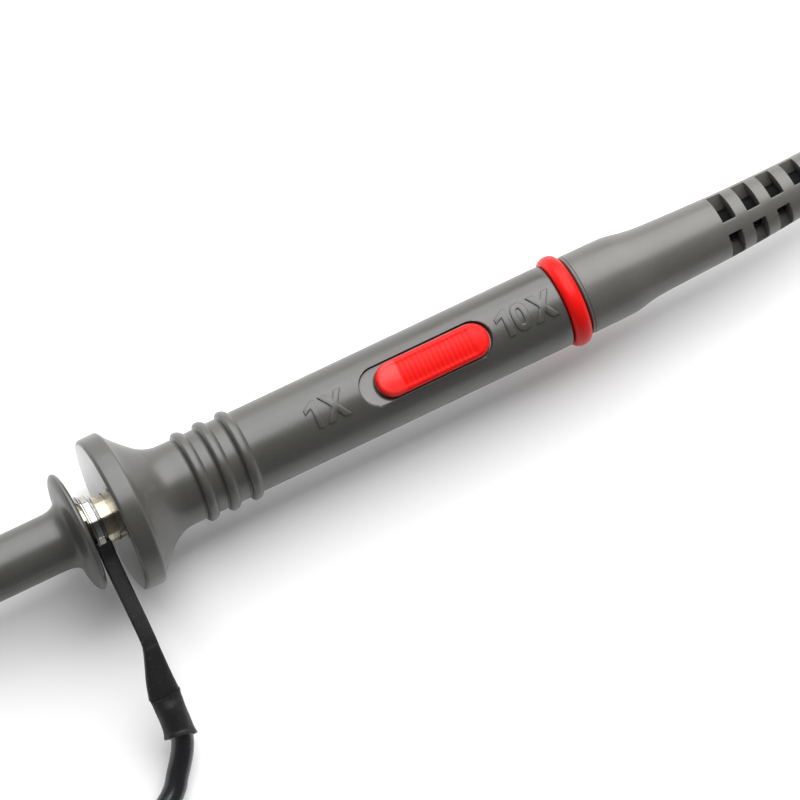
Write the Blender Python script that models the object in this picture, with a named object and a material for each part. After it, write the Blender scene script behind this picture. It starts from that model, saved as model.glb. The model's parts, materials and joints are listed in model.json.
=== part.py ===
"""Oscilloscope probe: moulded body with a 1X/10X slide, retractable hook tip,
clip-on ground lead, coiled coaxial cable and a compensation box with a BNC plug.

Sizes are millimetres.  The body axis runs along X: the tip points to -X and the
cable leaves towards +X.  +Z is up, with the slide switch on top.  The design zero
is the centre of the body flange's front (-X) face.  The root empty shifts that
zero so that the finished part stands on its origin.
"""
import bpy
import bmesh
from math import cos, pi, radians, sin
from mathutils import Vector

MM = 0.001

# ---- driving dimensions ----------------------------------------------------
FLANGE_R = 9.95                 # finger guard of the body
TABLE_Z = -FLANGE_R             # plane the probe lies on
DESIGN_ZERO = (-48.62, -26.08, -TABLE_Z)    # seen from the part's origin

BODY_R, BODY_END_R = 5.25, 5.27
BODY_END = 60.7
BODY_BORE = 4.15
COLLAR_R = 2.95                 # ground barrel inside the hook tip and clip
COLLAR_BORE = 3.1

SLOT_X0, SLOT_X1, SLOT_WIDTH, SLOT_FLOOR = 33.2, 50.9, 5.0, 4.5
KNOB_X0, KNOB_X1, KNOB_WIDTH, KNOB_TOP = 35.4, 50.6, 4.4, 5.95

CABLE_R = 1.8
BOOT_END = 105.0
BEND_START, BEND_R = 80.0, 210.0
STRAIGHT_RUN = 60.0             # from the boot to the coil
COIL_R, COIL_PITCH, COIL_TURNS = 43.0, 4.1, 4
CROSS_RISE = 3.95               # lifts the tail over the outer turns

BOX_X0, BOX_X1, BOX_HALF_WIDTH = 66.0, 96.0, 7.5
BOX_TOP = 5.05
BNC_Z = -2.45
TRIMMER_X = 74.0
TRIMMER_DEPTH = 4.0             # trimmer joint below the box top

GATOR_Y, GATOR_PIN_X, GATOR_PIN_Z = -26.0, -90.0, -5.6
GATOR_WIRE_Z = -7.5

# ---- mesh resolution -------------------------------------------------------
BODY_SEG, BARREL_SEG, FITTING_SEG, SMALL_SEG = 28, 24, 20, 16
PIN_SEG, WIRE_SEG, SPRING_SEG = 12, 8, 5
ARC_STEPS = 8                   # half circle at each end of a stadium outline
SPRING_STEPS = 10               # per turn
LEAD_STEPS = 3                  # per span between control points
SHARP_ANGLE = radians(40)

# ---- clean start -----------------------------------------------------------
for old in list(bpy.data.objects):
    bpy.data.objects.remove(old, do_unlink=True)

# ---- materials -------------------------------------------------------------
GREY = (0.19, 0.19, 0.178)
MID_GREY = (0.5, 0.5, 0.5)
RED = (0.80, 0.028, 0.02)
BLACK = (0.018, 0.018, 0.019)
NICKEL = (0.62, 0.60, 0.55)
GOLD = (0.83, 0.62, 0.28)
BLUE = (0.35, 0.5, 0.62)

# name: (base colour, roughness, metallic)
FINISHES = {
    "guide": (MID_GREY, 0.8, 0.0),
    "body_plastic": (GREY, 0.42, 0.0),
    "box_plastic": (GREY, 0.42, 0.0),
    "sleeve_plastic": (GREY, 0.42, 0.0),
    "boot_rubber": (GREY, 0.55, 0.0),
    "red_plastic": (RED, 0.38, 0.0),
    "nose_plastic": (BLACK, 0.4, 0.0),
    "cable_jacket": (BLACK, 0.5, 0.0),
    "lead_insulation": (BLACK, 0.5, 0.0),
    "clip_vinyl": (BLACK, 0.5, 0.0),
    "heatshrink": (BLACK, 0.55, 0.0),
    "switch_base_plastic": ((0.05, 0.05, 0.055), 0.5, 0.0),
    "core_plastic": ((0.5, 0.5, 0.47), 0.4, 0.0),
    "contact_insulator": ((0.82, 0.82, 0.78), 0.4, 0.0),
    "gasket_rubber": ((0.45, 0.1, 0.06), 0.7, 0.0),
    "circuit_board": ((0.03, 0.16, 0.07), 0.45, 0.0),
    "resistor_coat": (BLUE, 0.4, 0.0),
    "resistor_coat_b": (BLUE, 0.4, 0.0),
    "capacitor_coat": ((0.62, 0.38, 0.12), 0.45, 0.0),
    "trimmer_body": ((0.85, 0.8, 0.66), 0.5, 0.0),
    "trimmer_brass": ((0.75, 0.55, 0.25), 0.3, 1.0),
    "shield_brass": ((0.7, 0.6, 0.35), 0.35, 1.0),
    "core_copper": ((0.72, 0.35, 0.18), 0.3, 1.0),
    "barrel_plating": (NICKEL, 0.28, 1.0),
    "nut_plating": (NICKEL, 0.25, 1.0),
    "clip_plating": ((0.8, 0.79, 0.75), 0.2, 1.0),
    "needle_plating": (GOLD, 0.25, 1.0),
    "contact_gold": (GOLD, 0.25, 1.0),
    "hook_steel": ((0.6, 0.58, 0.53), 0.25, 1.0),
    "spring_steel": (MID_GREY, 0.3, 1.0),
    "gator_steel": ((0.62, 0.61, 0.58), 0.3, 1.0),
    "gator_spring_steel": (MID_GREY, 0.3, 1.0),
}


def make_material(name, colour, roughness, metallic):
    material = bpy.data.materials.new(name)
    material.use_nodes = True
    inputs = material.node_tree.nodes["Principled BSDF"].inputs
    inputs["Base Color"].default_value = (*colour, 1.0)
    inputs["Roughness"].default_value = roughness
    inputs["Metallic"].default_value = metallic
    material.diffuse_color = (*colour, 1.0)
    return material


MATERIALS = {name: make_material(name, *finish) for name, finish in FINISHES.items()}


# ---- mesh helpers, all in millimetres --------------------------------------
def skin(rings, closed=False, capped=False):
    """Surface through closed rings of points; a ring of one point is a pole."""
    mesh = bmesh.new()
    loops = [[mesh.verts.new(point) for point in ring] for ring in rings]
    pairs = list(zip(loops, loops[1:]))
    if closed:
        pairs.append((loops[-1], loops[0]))
    for near, far in pairs:
        count = max(len(near), len(far))
        for i in range(count):
            j = (i + 1) % count
            if len(near) == 1:
                mesh.faces.new((near[0], far[i], far[j]))
            elif len(far) == 1:
                mesh.faces.new((near[i], far[0], near[j]))
            else:
                mesh.faces.new((near[i], far[i], far[j], near[j]))
    if capped:
        mesh.faces.new(loops[0])
        mesh.faces.new(loops[-1])
    return mesh


def circle(radius, count):
    """Pairs around a circle; radius 0 gives the single point of a pole."""
    if radius == 0:
        count = 1
    angles = [2 * pi * i / count for i in range(count)]
    return [(radius * cos(angle), radius * sin(angle)) for angle in angles]


def lathe(profile, count, axis=(0.0, 0.0)):
    """Turn (x, radius) points about a line along X through axis (y, z).

    A profile that starts on the axis runs pole to pole; any other closes on itself.
    """
    y, z = axis
    rings = [[Vector((x, y + side, z + rise)) for side, rise in circle(radius, count)]
             for x, radius in profile]
    return skin(rings, closed=profile[0][1] > 0)


def lathe_z(profile, count, x, y):
    """Turn (z, radius) points, pole to pole, about a vertical axis through x, y."""
    return skin([[Vector((x + dx, y + dy, z)) for dx, dy in circle(radius, count)]
                 for z, radius in profile])


def rod(x_span, radius, count, axis=(0.0, 0.0), tips=(0.0, 0.0)):
    """Solid round bar along X; tips are the lengths of its two end cones."""
    x0, x1 = x_span
    return lathe([(x0, 0), (x0 + tips[0], radius), (x1 - tips[1], radius), (x1, 0)],
                 count, axis)


def pipe(x_span, outer, inner, count, axis=(0.0, 0.0)):
    x0, x1 = x_span
    return lathe([(x0, inner), (x0, outer), (x1, outer), (x1, inner)], count, axis)


def around(centre, half):
    return (centre - half, centre + half)


def block(x_span, y_span, z_span, bevel=0.0, segments=1, vertical=False):
    """Box between three spans; vertical limits the bevel to the upright edges."""
    spans = (x_span, y_span, z_span)
    mesh = bmesh.new()
    bmesh.ops.create_cube(mesh, size=1.0)
    bmesh.ops.scale(mesh, vec=[high - low for low, high in spans], verts=mesh.verts)
    bmesh.ops.translate(mesh, vec=[(low + high) / 2 for low, high in spans],
                        verts=mesh.verts)
    if bevel:
        edges = [edge for edge in mesh.edges
                 if not vertical or abs(edge.verts[0].co.z - edge.verts[1].co.z) > 1e-6]
        bmesh.ops.bevel(mesh, geom=edges, offset=bevel, segments=segments,
                        profile=0.5, affect='EDGES')
    return mesh


def sweep_axes(path):
    """Side and up at every point of a path (parallel transport)."""
    axes = []
    up = None
    for i in range(len(path)):
        before = path[max(i - 1, 0)]
        after = path[min(i + 1, len(path) - 1)]
        tangent = (after - before).normalized()
        if up is None:
            up = Vector((0, 0, 1)) if abs(tangent.z) < 0.9 else Vector((0, 1, 0))
        up = (up - tangent * up.dot(tangent)).normalized()
        axes.append((tangent.cross(up), up))
    return axes


def sweep_rings(path, radii, count):
    return [[point + side * across + up * rise for across, rise in circle(radius, count)]
            for point, (side, up), radius in zip(path, sweep_axes(path), radii)]


def wire(path, radius, count):
    return skin(sweep_rings(path, [radius] * len(path), count), capped=True)


def tube(stations, count):
    """Hollow sweep through (point, outer radius, inner radius) stations."""
    path, outer, inner = zip(*stations)
    rings = sweep_rings(path, outer, count)
    rings += reversed(sweep_rings(path, inner, count))
    return skin(rings, closed=True)


def smooth_line(controls, steps):
    """Catmull-Rom line through control points."""
    points = [Vector(control) for control in controls]
    padded = [points[0] * 2 - points[1]] + points + [points[-1] * 2 - points[-2]]
    line = []
    for k in range(1, len(padded) - 2):
        before, start, end, after = padded[k - 1:k + 3]
        for i in range(steps):
            t = i / steps
            line.append(0.5 * ((2 * start) + (end - before) * t
                               + (2 * before - 5 * start + 4 * end - after) * t * t
                               + (3 * start - 3 * end + after - before) * t ** 3))
    line.append(points[-1])
    return line


def helix(length, radius, turns):
    """Helix as (distance along its axis, and two offsets across it)."""
    steps = int(turns * SPRING_STEPS)
    angles = [2 * pi * i / SPRING_STEPS for i in range(steps + 1)]
    return [(length * i / steps, radius * cos(angle), radius * sin(angle))
            for i, angle in enumerate(angles)]


def stadium(x0, x1, half_width, z, inset=0.0):
    """Round-ended outline in the XY plane."""
    radius = half_width - inset
    outline = []
    for centre_x, start in ((x1 - half_width, -pi / 2), (x0 + half_width, pi / 2)):
        for i in range(ARC_STEPS + 1):
            angle = start + pi * i / ARC_STEPS
            outline.append(Vector((centre_x + radius * cos(angle), radius * sin(angle), z)))
    return outline


def prism_y(outline, y_span):
    """Extrude an XZ outline along Y."""
    return skin([[Vector((x, y, z)) for x, z in outline] for y in y_span], capped=True)


def smoothstep(t):
    t = min(max(t, 0.0), 1.0)
    return t * t * (3 - 2 * t)


# ---- joints, pieces and booleans -------------------------------------------
JOINTS = {}                     # name: (empty, place in the design frame)


def joint(name, place, parent):
    """Empty on a joint axis; each piece hangs from one and has its origin there."""
    empty = bpy.data.objects.new(name + "_axis", None)
    bpy.context.scene.collection.objects.link(empty)
    empty.empty_display_size = 0.004
    place = Vector(place)
    if parent is None:
        empty.location = Vector(DESIGN_ZERO) * MM
    else:
        parent_empty, parent_place = JOINTS[parent]
        empty.parent = parent_empty
        empty.location = (place - parent_place) * MM
    JOINTS[name] = (empty, place)


def piece(name, mesh, material, owner="probe"):
    empty, place = JOINTS[owner]
    bmesh.ops.remove_doubles(mesh, verts=mesh.verts, dist=1e-4)
    bmesh.ops.recalc_face_normals(mesh, faces=mesh.faces)
    bmesh.ops.translate(mesh, vec=-place, verts=mesh.verts)
    bmesh.ops.scale(mesh, vec=(MM, MM, MM), verts=mesh.verts)
    data = bpy.data.meshes.new(name)
    mesh.to_mesh(data)
    mesh.free()
    data.shade_smooth()
    data.set_sharp_from_angle(angle=SHARP_ANGLE)
    data.materials.append(MATERIALS[material])
    result = bpy.data.objects.new(name, data)
    bpy.context.scene.collection.objects.link(result)
    result.parent = empty
    return result


def boolean(target, name, mesh, owner="probe", operation='DIFFERENCE'):
    helper = piece(name, mesh, "guide", owner)
    helper.hide_render = True
    helper.display_type = 'WIRE'
    modifier = target.modifiers.new(name, 'BOOLEAN')
    modifier.operation = operation
    modifier.solver = 'EXACT'
    modifier.object = helper


# ---- centre line of the cable ----------------------------------------------
BEND_ANGLE = (BOOT_END - BEND_START) / BEND_R
CABLE_LOW_Z = TABLE_Z + CABLE_R
CROSS_Z = CABLE_LOW_Z + CROSS_RISE


def axis_point(distance):
    """Point on the body axis and its gentle bend, measured behind the flange."""
    if distance <= BEND_START:
        return Vector((distance, 0, 0))
    angle = min((distance - BEND_START) / BEND_R, BEND_ANGLE)
    point = Vector((BEND_START + BEND_R * sin(angle), BEND_R * (1 - cos(angle)), 0))
    extra = distance - BOOT_END
    if extra > 0:
        point += Vector((cos(BEND_ANGLE), sin(BEND_ANGLE), 0)) * extra
        point.z = CABLE_LOW_Z * smoothstep(extra / (STRAIGHT_RUN - 4))
    return point


# The cable spirals inwards and leaves the coil at its +Y side, heading to -X.
COIL_CENTRE = (axis_point(BOOT_END + STRAIGHT_RUN)
               + Vector((-sin(BEND_ANGLE), cos(BEND_ANGLE), 0)) * COIL_R)
COIL_START = BEND_ANGLE - pi / 2
COIL_END = pi / 2 + 2 * pi * COIL_TURNS


def coil_radius(angle):
    return COIL_R - COIL_PITCH * (angle - COIL_START) / (2 * pi)


BNC_Y = COIL_CENTRE.y + coil_radius(COIL_END)
BNC_AXIS = (BNC_Y, BNC_Z)


def cable_line():
    body_stations = (60, 70, 80, 85, 90, 95, 100, 105)
    run_stations = (7, 14, 21, 28, 35, 42, 49, 55)      # past the boot
    coil_step = radians(12)
    lift_start, lift_span = COIL_END - radians(78), radians(74)
    drop_start, drop_length = 140, 20
    tail_stations = (COIL_CENTRE.x - 8, 140, 135, 130, 125, 120, 118)
    cable_end = 84

    line = [axis_point(distance) for distance in body_stations]
    line += [axis_point(BOOT_END + extra) for extra in run_stations]
    steps = int(round((COIL_END - COIL_START) / coil_step))
    for i in range(steps + 1):
        angle = COIL_START + (COIL_END - COIL_START) * i / steps
        radius = coil_radius(angle)
        lift = smoothstep((angle - lift_start) / lift_span)
        line.append(Vector((COIL_CENTRE.x + radius * cos(angle),
                            COIL_CENTRE.y + radius * sin(angle),
                            CABLE_LOW_Z * (1 - lift) + CROSS_Z * lift)))
    for x in tail_stations:
        drop = smoothstep((drop_start - x) / drop_length)
        line.append(Vector((x, BNC_Y, CROSS_Z + (BNC_Z - CROSS_Z) * drop)))
    line.append(Vector((cable_end, BNC_Y, BNC_Z)))
    return line


# ---- probe body ------------------------------------------------------------
def build_body_shell():
    rib_places, rib_r = (11.4, 14.35, 17.4), 5.88
    # (x, radius)
    profile = [(0.0, COLLAR_BORE), (0.0, 9.45), (0.15, 9.8), (0.5, FLANGE_R),
               (2.2, FLANGE_R), (2.6, 9.65), (3.1, 9.05), (3.8, 8.3), (4.85, 7.25),
               (5.85, 6.35), (6.95, 5.68), (8.4, BODY_R)]
    for x in rib_places:
        profile += [(x - 0.72, BODY_R), (x - 0.35, rib_r), (x + 0.3, rib_r), (x + 0.75, BODY_R)]
    profile += [(BODY_END, BODY_END_R), (BODY_END, BODY_BORE), (4.6, BODY_BORE),
                (4.6, COLLAR_BORE)]
    shell = piece("body_shell", lathe(profile, BODY_SEG), "body_plastic")
    slot = [stadium(SLOT_X0, SLOT_X1, SLOT_WIDTH / 2, z) for z in (SLOT_FLOOR, 8.0)]
    boolean(shell, "slot_cutter", skin(slot, capped=True))
    boolean(shell, "stem_cutter", block((39.9, 44.5), around(0, 0.9), (2.0, 6.5)))


def build_nose():
    """Ground barrel, its insulator and the needle, one inside the other."""
    # (x, radius)
    barrel = [(-12.0, 1.7), (-12.0, 2.0), (-11.8, 2.2), (-4.4, 2.2), (-4.4, 2.75),
              (-4.2, COLLAR_R), (8.0, COLLAR_R), (8.0, 1.7)]
    insulator = [(-22.0, 0.75), (-22.0, 1.7), (-21.7, 2.0), (-12.3, 2.0), (-12.3, 1.55),
                 (7.4, 1.55), (7.4, 0.75)]
    needle = [(-30.0, 0.0), (-28.2, 0.6), (8.6, 0.6), (8.6, 0.0)]
    piece("ground_barrel", lathe(barrel, BARREL_SEG), "barrel_plating")
    piece("nose_insulator", lathe(insulator, FITTING_SEG), "nose_plastic")
    piece("probe_needle", lathe(needle, PIN_SEG), "needle_plating")


def build_body_circuit():
    piece("shield_tube", pipe((8.9, 31.0), outer=3.95, inner=3.7, count=BARREL_SEG),
          "shield_brass")
    piece("attenuator_board", block((9.0, 56.0), around(0, 3.0), around(0, 0.4)),
          "circuit_board")
    piece("input_resistor", rod((14.0, 21.5), radius=0.9, count=PIN_SEG, axis=(0, 1.5),
                                tips=(0.4, 0.4)), "resistor_coat")
    piece("tip_capacitor", block((24.0, 28.5), around(0, 1.4), (0.6, 2.4), bevel=0.25),
          "capacitor_coat")
    piece("switch_base", block((37.2, 48.2), around(0, 2.1), (0.6, 2.6), bevel=0.2),
          "switch_base_plastic")
    core = [Vector((56.2, 0, 0)), Vector((59.7, 0, 0))]
    piece("core_wire", wire(core, 0.3, WIRE_SEG), "core_copper")


def build_id_ring():
    """Red ring between shell and boot, with a rounded crown."""
    x0, x1, edge_r, crown_r = 60.85, 63.15, 5.2, 5.95
    middle, half_width = (x0 + x1) / 2, (x1 - x0) / 2
    profile = [(x0, BODY_BORE), (x0, edge_r)]
    for degrees in (30, 60, 90, 120, 150):
        angle = radians(degrees)
        profile.append((middle - half_width * cos(angle),
                        edge_r + (crown_r - edge_r) * sin(angle)))
    profile += [(x1, edge_r), (x1, BODY_BORE)]
    piece("id_ring", lathe(profile, BODY_SEG), "red_plastic")


def build_probe_boot():
    """Boot whose spigot passes through the ring into the shell, and its ferrule."""
    wide_bore, cable_bore, bore_step = 3.2, 2.1, 69.0
    # (distance along the cable, outer radius)
    outline = [(57.5, 4.0), (63.45, 4.0), (63.46, 5.0), (63.9, 5.15), (68.95, 5.1),
               (69.4, 5.08), (71.3, 4.72), (73.1, 4.5), (78.0, 4.24), (83.0, 4.06),
               (88.0, 3.87), (93.0, 3.67), (99.0, 3.4), (104.3, 3.14), (BOOT_END, 2.88)]
    stations = [(axis_point(distance), outer,
                 wide_bore if distance < bore_step else cable_bore)
                for distance, outer in outline]
    piece("probe_boot", tube(stations, FITTING_SEG), "boot_rubber")
    piece("crimp_ferrule", pipe((59.2, 68.6), outer=3.0, inner=1.98, count=FITTING_SEG),
          "barrel_plating")


# ---- coaxial cable and compensation box ------------------------------------
def build_cable():
    piece("coax_cable", wire(cable_line(), CABLE_R, WIRE_SEG), "cable_jacket")


def box_block(z_span):
    return block((BOX_X0, BOX_X1), around(BNC_Y, BOX_HALF_WIDTH), z_span,
                 bevel=1.5, segments=3, vertical=True)


def build_box_case():
    end_wall, wall = 1.3, 1.2
    base = piece("comp_box_base", box_block((TABLE_Z, 3.7)), "box_plastic")
    boolean(base, "box_hollow", block((BOX_X0 + end_wall, BOX_X1 - end_wall),
                                      around(BNC_Y, BOX_HALF_WIDTH - wall),
                                      (TABLE_Z + wall, 6.0)))
    boolean(base, "cable_hole", rod((90.0, 99.0), 3.5, FITTING_SEG, BNC_AXIS))
    boolean(base, "plug_hole", rod((62.0, 69.0), 4.45, FITTING_SEG, BNC_AXIS))
    cover = piece("comp_box_cover", box_block((3.9, BOX_TOP)), "box_plastic")
    hole = [(3.0, 0.0), (3.0, 1.6), (6.0, 1.6), (6.0, 0.0)]     # (z, radius)
    boolean(cover, "adjust_hole", lathe_z(hole, SMALL_SEG, TRIMMER_X, BNC_Y))


def build_box_circuit():
    piece("comp_board", block((68.0, 94.0), around(BNC_Y, 5.6), (-7.6, -6.8)),
          "circuit_board")
    piece("trimmer_base", block(around(TRIMMER_X, 2.4), around(BNC_Y, 2.4), (-6.6, -1.6),
                                bevel=0.2), "trimmer_body")
    # (z, radius)
    profile = [(-1.4, 0.0), (-1.4, 1.3), (1.3, 1.3), (1.5, 1.1), (1.5, 0.0)]
    screw = piece("trimmer_screw", lathe_z(profile, SMALL_SEG, TRIMMER_X, BNC_Y),
                  "trimmer_brass", "trimmer")
    boolean(screw, "screw_slot",
            block(around(TRIMMER_X, 2.0), around(BNC_Y, 0.2), (0.9, 2.5)), "trimmer")
    piece("comp_resistor", rod((79.0, 85.0), radius=0.9, count=PIN_SEG,
                               axis=(BNC_Y + 4.3, -5.7), tips=(0.4, 0.4)),
          "resistor_coat_b")
    piece("comp_capacitor", block((86.5, 90.5), (BNC_Y - 5.2, BNC_Y - 3.4), (-6.6, -3.2),
                                  bevel=0.3), "capacitor_coat")


def build_box_cable_entry():
    # (x, radius)
    ring = [(96.3, 3.4), (96.3, 4.7), (96.7, 5.1), (98.0, 5.1), (98.4, 4.7), (98.4, 3.4)]
    boot = [(91.0, 2.95), (91.0, 3.25), (98.6, 3.25), (98.6, 4.4), (99.1, 4.6),
            (102.0, 4.5), (104.0, 3.6), (116.5, 2.8), (117.0, 2.6), (117.0, 2.1),
            (99.5, 2.1), (99.5, 2.95)]
    piece("id_ring_bnc", lathe(ring, FITTING_SEG, BNC_AXIS), "red_plastic")
    piece("bnc_boot", lathe(boot, FITTING_SEG, BNC_AXIS), "boot_rubber")
    piece("bnc_crimp", pipe((85.5, 98.8), 2.75, 1.98, FITTING_SEG, BNC_AXIS),
          "barrel_plating")


def build_bnc_plug():
    nut_r = 7.25
    # (x, radius)
    plug = [(49.0, 3.55), (49.0, 4.05), (58.2, 4.05), (58.2, 5.3), (59.4, 5.3),
            (59.4, 4.25), (70.2, 4.25), (70.2, 3.1), (58.6, 3.1), (57.2, 3.55)]
    insulator = [(52.5, 0.95), (52.5, 2.45), (58.8, 2.45), (58.8, 2.95), (69.6, 2.95),
                 (69.6, 0.95)]
    coupling = [(47.0, 4.95), (47.0, 6.9), (47.3, nut_r), (51.2, nut_r), (51.6, 6.7),
                (52.4, 6.7), (52.8, nut_r), (61.6, nut_r), (62.0, 6.8), (62.0, 4.5),
                (60.6, 4.5), (60.6, 5.65), (56.6, 5.65), (56.6, 4.95)]
    piece("bnc_body", lathe(plug, BARREL_SEG, BNC_AXIS), "barrel_plating")
    piece("bnc_insulator", lathe(insulator, FITTING_SEG, BNC_AXIS), "contact_insulator")
    piece("bnc_pin", rod((50.5, 70.6), 0.7, PIN_SEG, BNC_AXIS, tips=(0.9, 0.0)),
          "contact_gold")
    piece("bnc_gasket", pipe((57.2, 58.05), 5.2, 4.2, FITTING_SEG, BNC_AXIS),
          "gasket_rubber")
    piece("bnc_spring_washer", pipe((59.6, 60.3), 5.4, 4.45, FITTING_SEG, BNC_AXIS),
          "barrel_plating")
    nut = piece("bnc_coupling_nut", lathe(coupling, BARREL_SEG, BNC_AXIS),
                "nut_plating", "bnc_nut")
    boolean(nut, "bayonet_slot",
            block((46.0, 53.5), around(BNC_Y, 9.0), around(BNC_Z, 1.1), bevel=0.5),
            "bnc_nut")


# ---- slide switch: the knob rests at the slot's +X end ----------------------
def build_switch():
    # (z, inset of the outline)
    levels = [(SLOT_FLOOR + 0.15, 0.15), (SLOT_FLOOR + 0.35, 0.0), (5.15, 0.0),
              (5.6, 0.35), (KNOB_TOP - 0.1, 0.85), (KNOB_TOP, 1.4)]
    rings = [stadium(KNOB_X0, KNOB_X1, KNOB_WIDTH / 2, z, inset) for z, inset in levels]
    knob = piece("switch_knob", skin(rings, capped=True), "red_plastic", "switch")
    boolean(knob, "knob_stem", block((42.2, 44.2), around(0, 0.6), (3.5, 5.0)),
            "switch", 'UNION')
    piece("switch_wiper", block((41.9, 44.5), around(0, 1.0), (2.85, 3.2), bevel=0.1),
          "barrel_plating", "switch")


# ---- hook tip: inner core with its hook, and the sprung sleeve around it ----
def build_hook_core():
    # (x, radius)
    core = [(-4.6, 2.35), (-4.6, 2.8), (-4.8, 2.95), (-36.3, 2.95), (-36.3, 0.95),
            (-34.2, 0.95), (-34.2, 1.68), (-23.0, 1.68), (-23.0, 2.35)]
    socket = [(-34.0, 0.0), (-34.0, 1.5), (-23.6, 1.5), (-23.2, 1.3), (-23.2, 0.78),
              (-32.5, 0.78), (-32.5, 0.0)]
    piece("hook_core", lathe(core, BARREL_SEG), "core_plastic", "hook_tip")
    piece("hook_socket", lathe(socket, SMALL_SEG), "barrel_plating", "hook_tip")


def build_hook():
    """Wire that runs forward beside the axis and turns back in a half circle."""
    bend_r, bend_x, bend_steps = 0.46, -48.2, 6
    path = [Vector((-34.2, -bend_r, 0)), Vector((-41.0, -bend_r, 0))]
    for i in range(bend_steps + 1):
        angle = pi * i / bend_steps
        path.append(Vector((bend_x - bend_r * sin(angle), -bend_r * cos(angle), 0)))
    path.append(Vector((-47.0, bend_r, 0)))
    piece("hook_wire", wire(path, 0.3, WIRE_SEG), "hook_steel", "hook_tip")


def build_hook_spring():
    start_x = -43.9
    path = [Vector((start_x + along, side, rise))
            for along, side, rise in helix(length=7.3, radius=1.72, turns=6)]
    piece("hook_spring", wire(path, 0.2, SPRING_SEG), "spring_steel", "hook_tip")


def build_hook_sleeve():
    outer_r, bore, flange_r, nose_x = 3.68, 3.1, 7.65, -48.0
    # (x, radius)
    profile = [(-3.95, bore), (-3.95, 7.1), (-4.2, flange_r), (-4.6, flange_r),
               (-4.95, 7.2), (-5.2, 6.4), (-5.42, 4.8), (-5.75, 4.22), (-6.3, 3.82),
               (-7.1, outer_r), (-38.5, outer_r), (-40.5, 3.5), (-44.4, 2.95),
               (-47.6, 1.8), (nose_x, 1.5), (nose_x, 0.95), (-44.2, 0.95),
               (-44.2, 2.3), (-38.6, 2.3), (-38.6, bore)]
    piece("hook_sleeve", lathe(profile, BARREL_SEG), "sleeve_plastic", "hook_sleeve")


# ---- ground lead: spring clip, strap, wire and an alligator clip ------------
def build_ground_clip():
    """Ring open at the bottom by gap degrees."""
    gap, steps = 50, 28
    # (x, radius)
    section = [(-2.25, 3.12), (-2.25, 4.35), (-1.85, 4.35), (-1.8, 3.6), (-1.5, 3.6),
               (-1.5, 3.12)]
    rings = []
    for i in range(steps + 1):
        angle = radians(-90 + gap / 2 + (360 - gap) * i / steps)
        rings.append([Vector((x, radius * cos(angle), radius * sin(angle)))
                      for x, radius in section])
    piece("ground_clip", skin(rings, capped=True), "clip_plating", "ground_lead")


def build_ground_strap():
    # centre (y, z), the two edges in x, half the thickness
    stations = [((-4.8, 1.45), -3.45, -1.55, 0.4), ((-10.0, 1.15), -3.45, -1.55, 0.4),
                ((-16.2, 0.2), -3.4, -1.5, 0.45), ((-18.6, -1.2), -4.0, -1.4, 0.5),
                ((-20.5, -2.45), -4.6, -1.25, 0.6), ((-22.0, -3.45), -4.95, -1.15, 0.7)]
    centres = [Vector(station[0]) for station in stations]
    rings = []
    for k, (_, x_low, x_high, half) in enumerate(stations):
        before = centres[max(k - 1, 0)]
        after = centres[min(k + 1, len(centres) - 1)]
        run = (after - before).normalized()
        offset = Vector((-run.y, run.x)) * half
        one_face, other_face = centres[k] + offset, centres[k] - offset
        rings.append([Vector((x, *face)) for x, face in
                      ((x_low, one_face), (x_high, one_face),
                       (x_high, other_face), (x_low, other_face))])
    piece("ground_strap", skin(rings, capped=True), "heatshrink", "ground_lead")


def build_ground_wire():
    # (point, outer radius, inner radius)
    shrink = [(Vector((-3.05, -22.3, -3.65)), 1.98, 1.66),
              (Vector((-3.02, -25.0, -5.18)), 1.95, 1.66),
              (Vector((-3.1, -27.8, -6.6)), 2.05, 1.72)]
    # (x, y, z)
    controls = [(-3.05, -24.2, -4.75), (-3.1, -27.8, -6.6), (-5.2, -31.2, -8.0),
                (-8.2, -34.2, -8.45), (-18.0, -39.0, -8.5), (-32.0, -40.5, -8.5),
                (-46.0, -36.0, -8.5), (-57.0, -29.0, -8.1), (-64.0, -26.5, -7.6)]
    controls += [(x, GATOR_Y, GATOR_WIRE_Z) for x in (-69.0, -73.0, -77.4)]
    piece("ground_shrink", tube(shrink, SMALL_SEG), "heatshrink", "ground_lead")
    piece("ground_wire", wire(smooth_line(controls, LEAD_STEPS), 1.4, WIRE_SEG),
          "lead_insulation", "ground_lead")


def gator_pin(radius, half_length):
    outline = [(GATOR_PIN_X + dx, GATOR_PIN_Z + dz) for dx, dz in circle(radius, PIN_SEG)]
    return prism_y(outline, around(GATOR_Y, half_length))


def gator_pin_cutter():
    return gator_pin(radius=0.62, half_length=4)


def build_gator_boot():
    # (x, radius)
    profile = [(-77.6, 1.6), (-77.6, 2.1), (-77.3, 2.3), (-73.0, 2.2), (-69.8, 1.9),
               (-69.5, 1.75), (-69.5, 1.6)]
    piece("gator_boot", lathe(profile, SMALL_SEG, (GATOR_Y, GATOR_WIRE_Z)),
          "clip_vinyl", "ground_lead")


def build_gator_lower_jaw():
    jaw = piece("gator_lower_jaw",
                block((-106.0, -78.0), around(GATOR_Y, 2.4), (-9.7, -4.3), bevel=0.3),
                "gator_steel", "ground_lead")
    # name, x span, half width, z span
    cuts = [("jaw_channel", (-105.6, -77.0), 1.95, (-9.2, -3.0)),
            ("jaw_front_cut", (-108.0, -95.5), 4, (-8.4, -3.0)),
            ("jaw_rear_cut", (-85.0, -76.0), 4, (-7.6, -3.0))]
    for name, x_span, half_width, z_span in cuts:
        boolean(jaw, name, block(x_span, around(GATOR_Y, half_width), z_span),
                "ground_lead")
    boolean(jaw, "lower_pin_hole", gator_pin_cutter(), "ground_lead")


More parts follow.
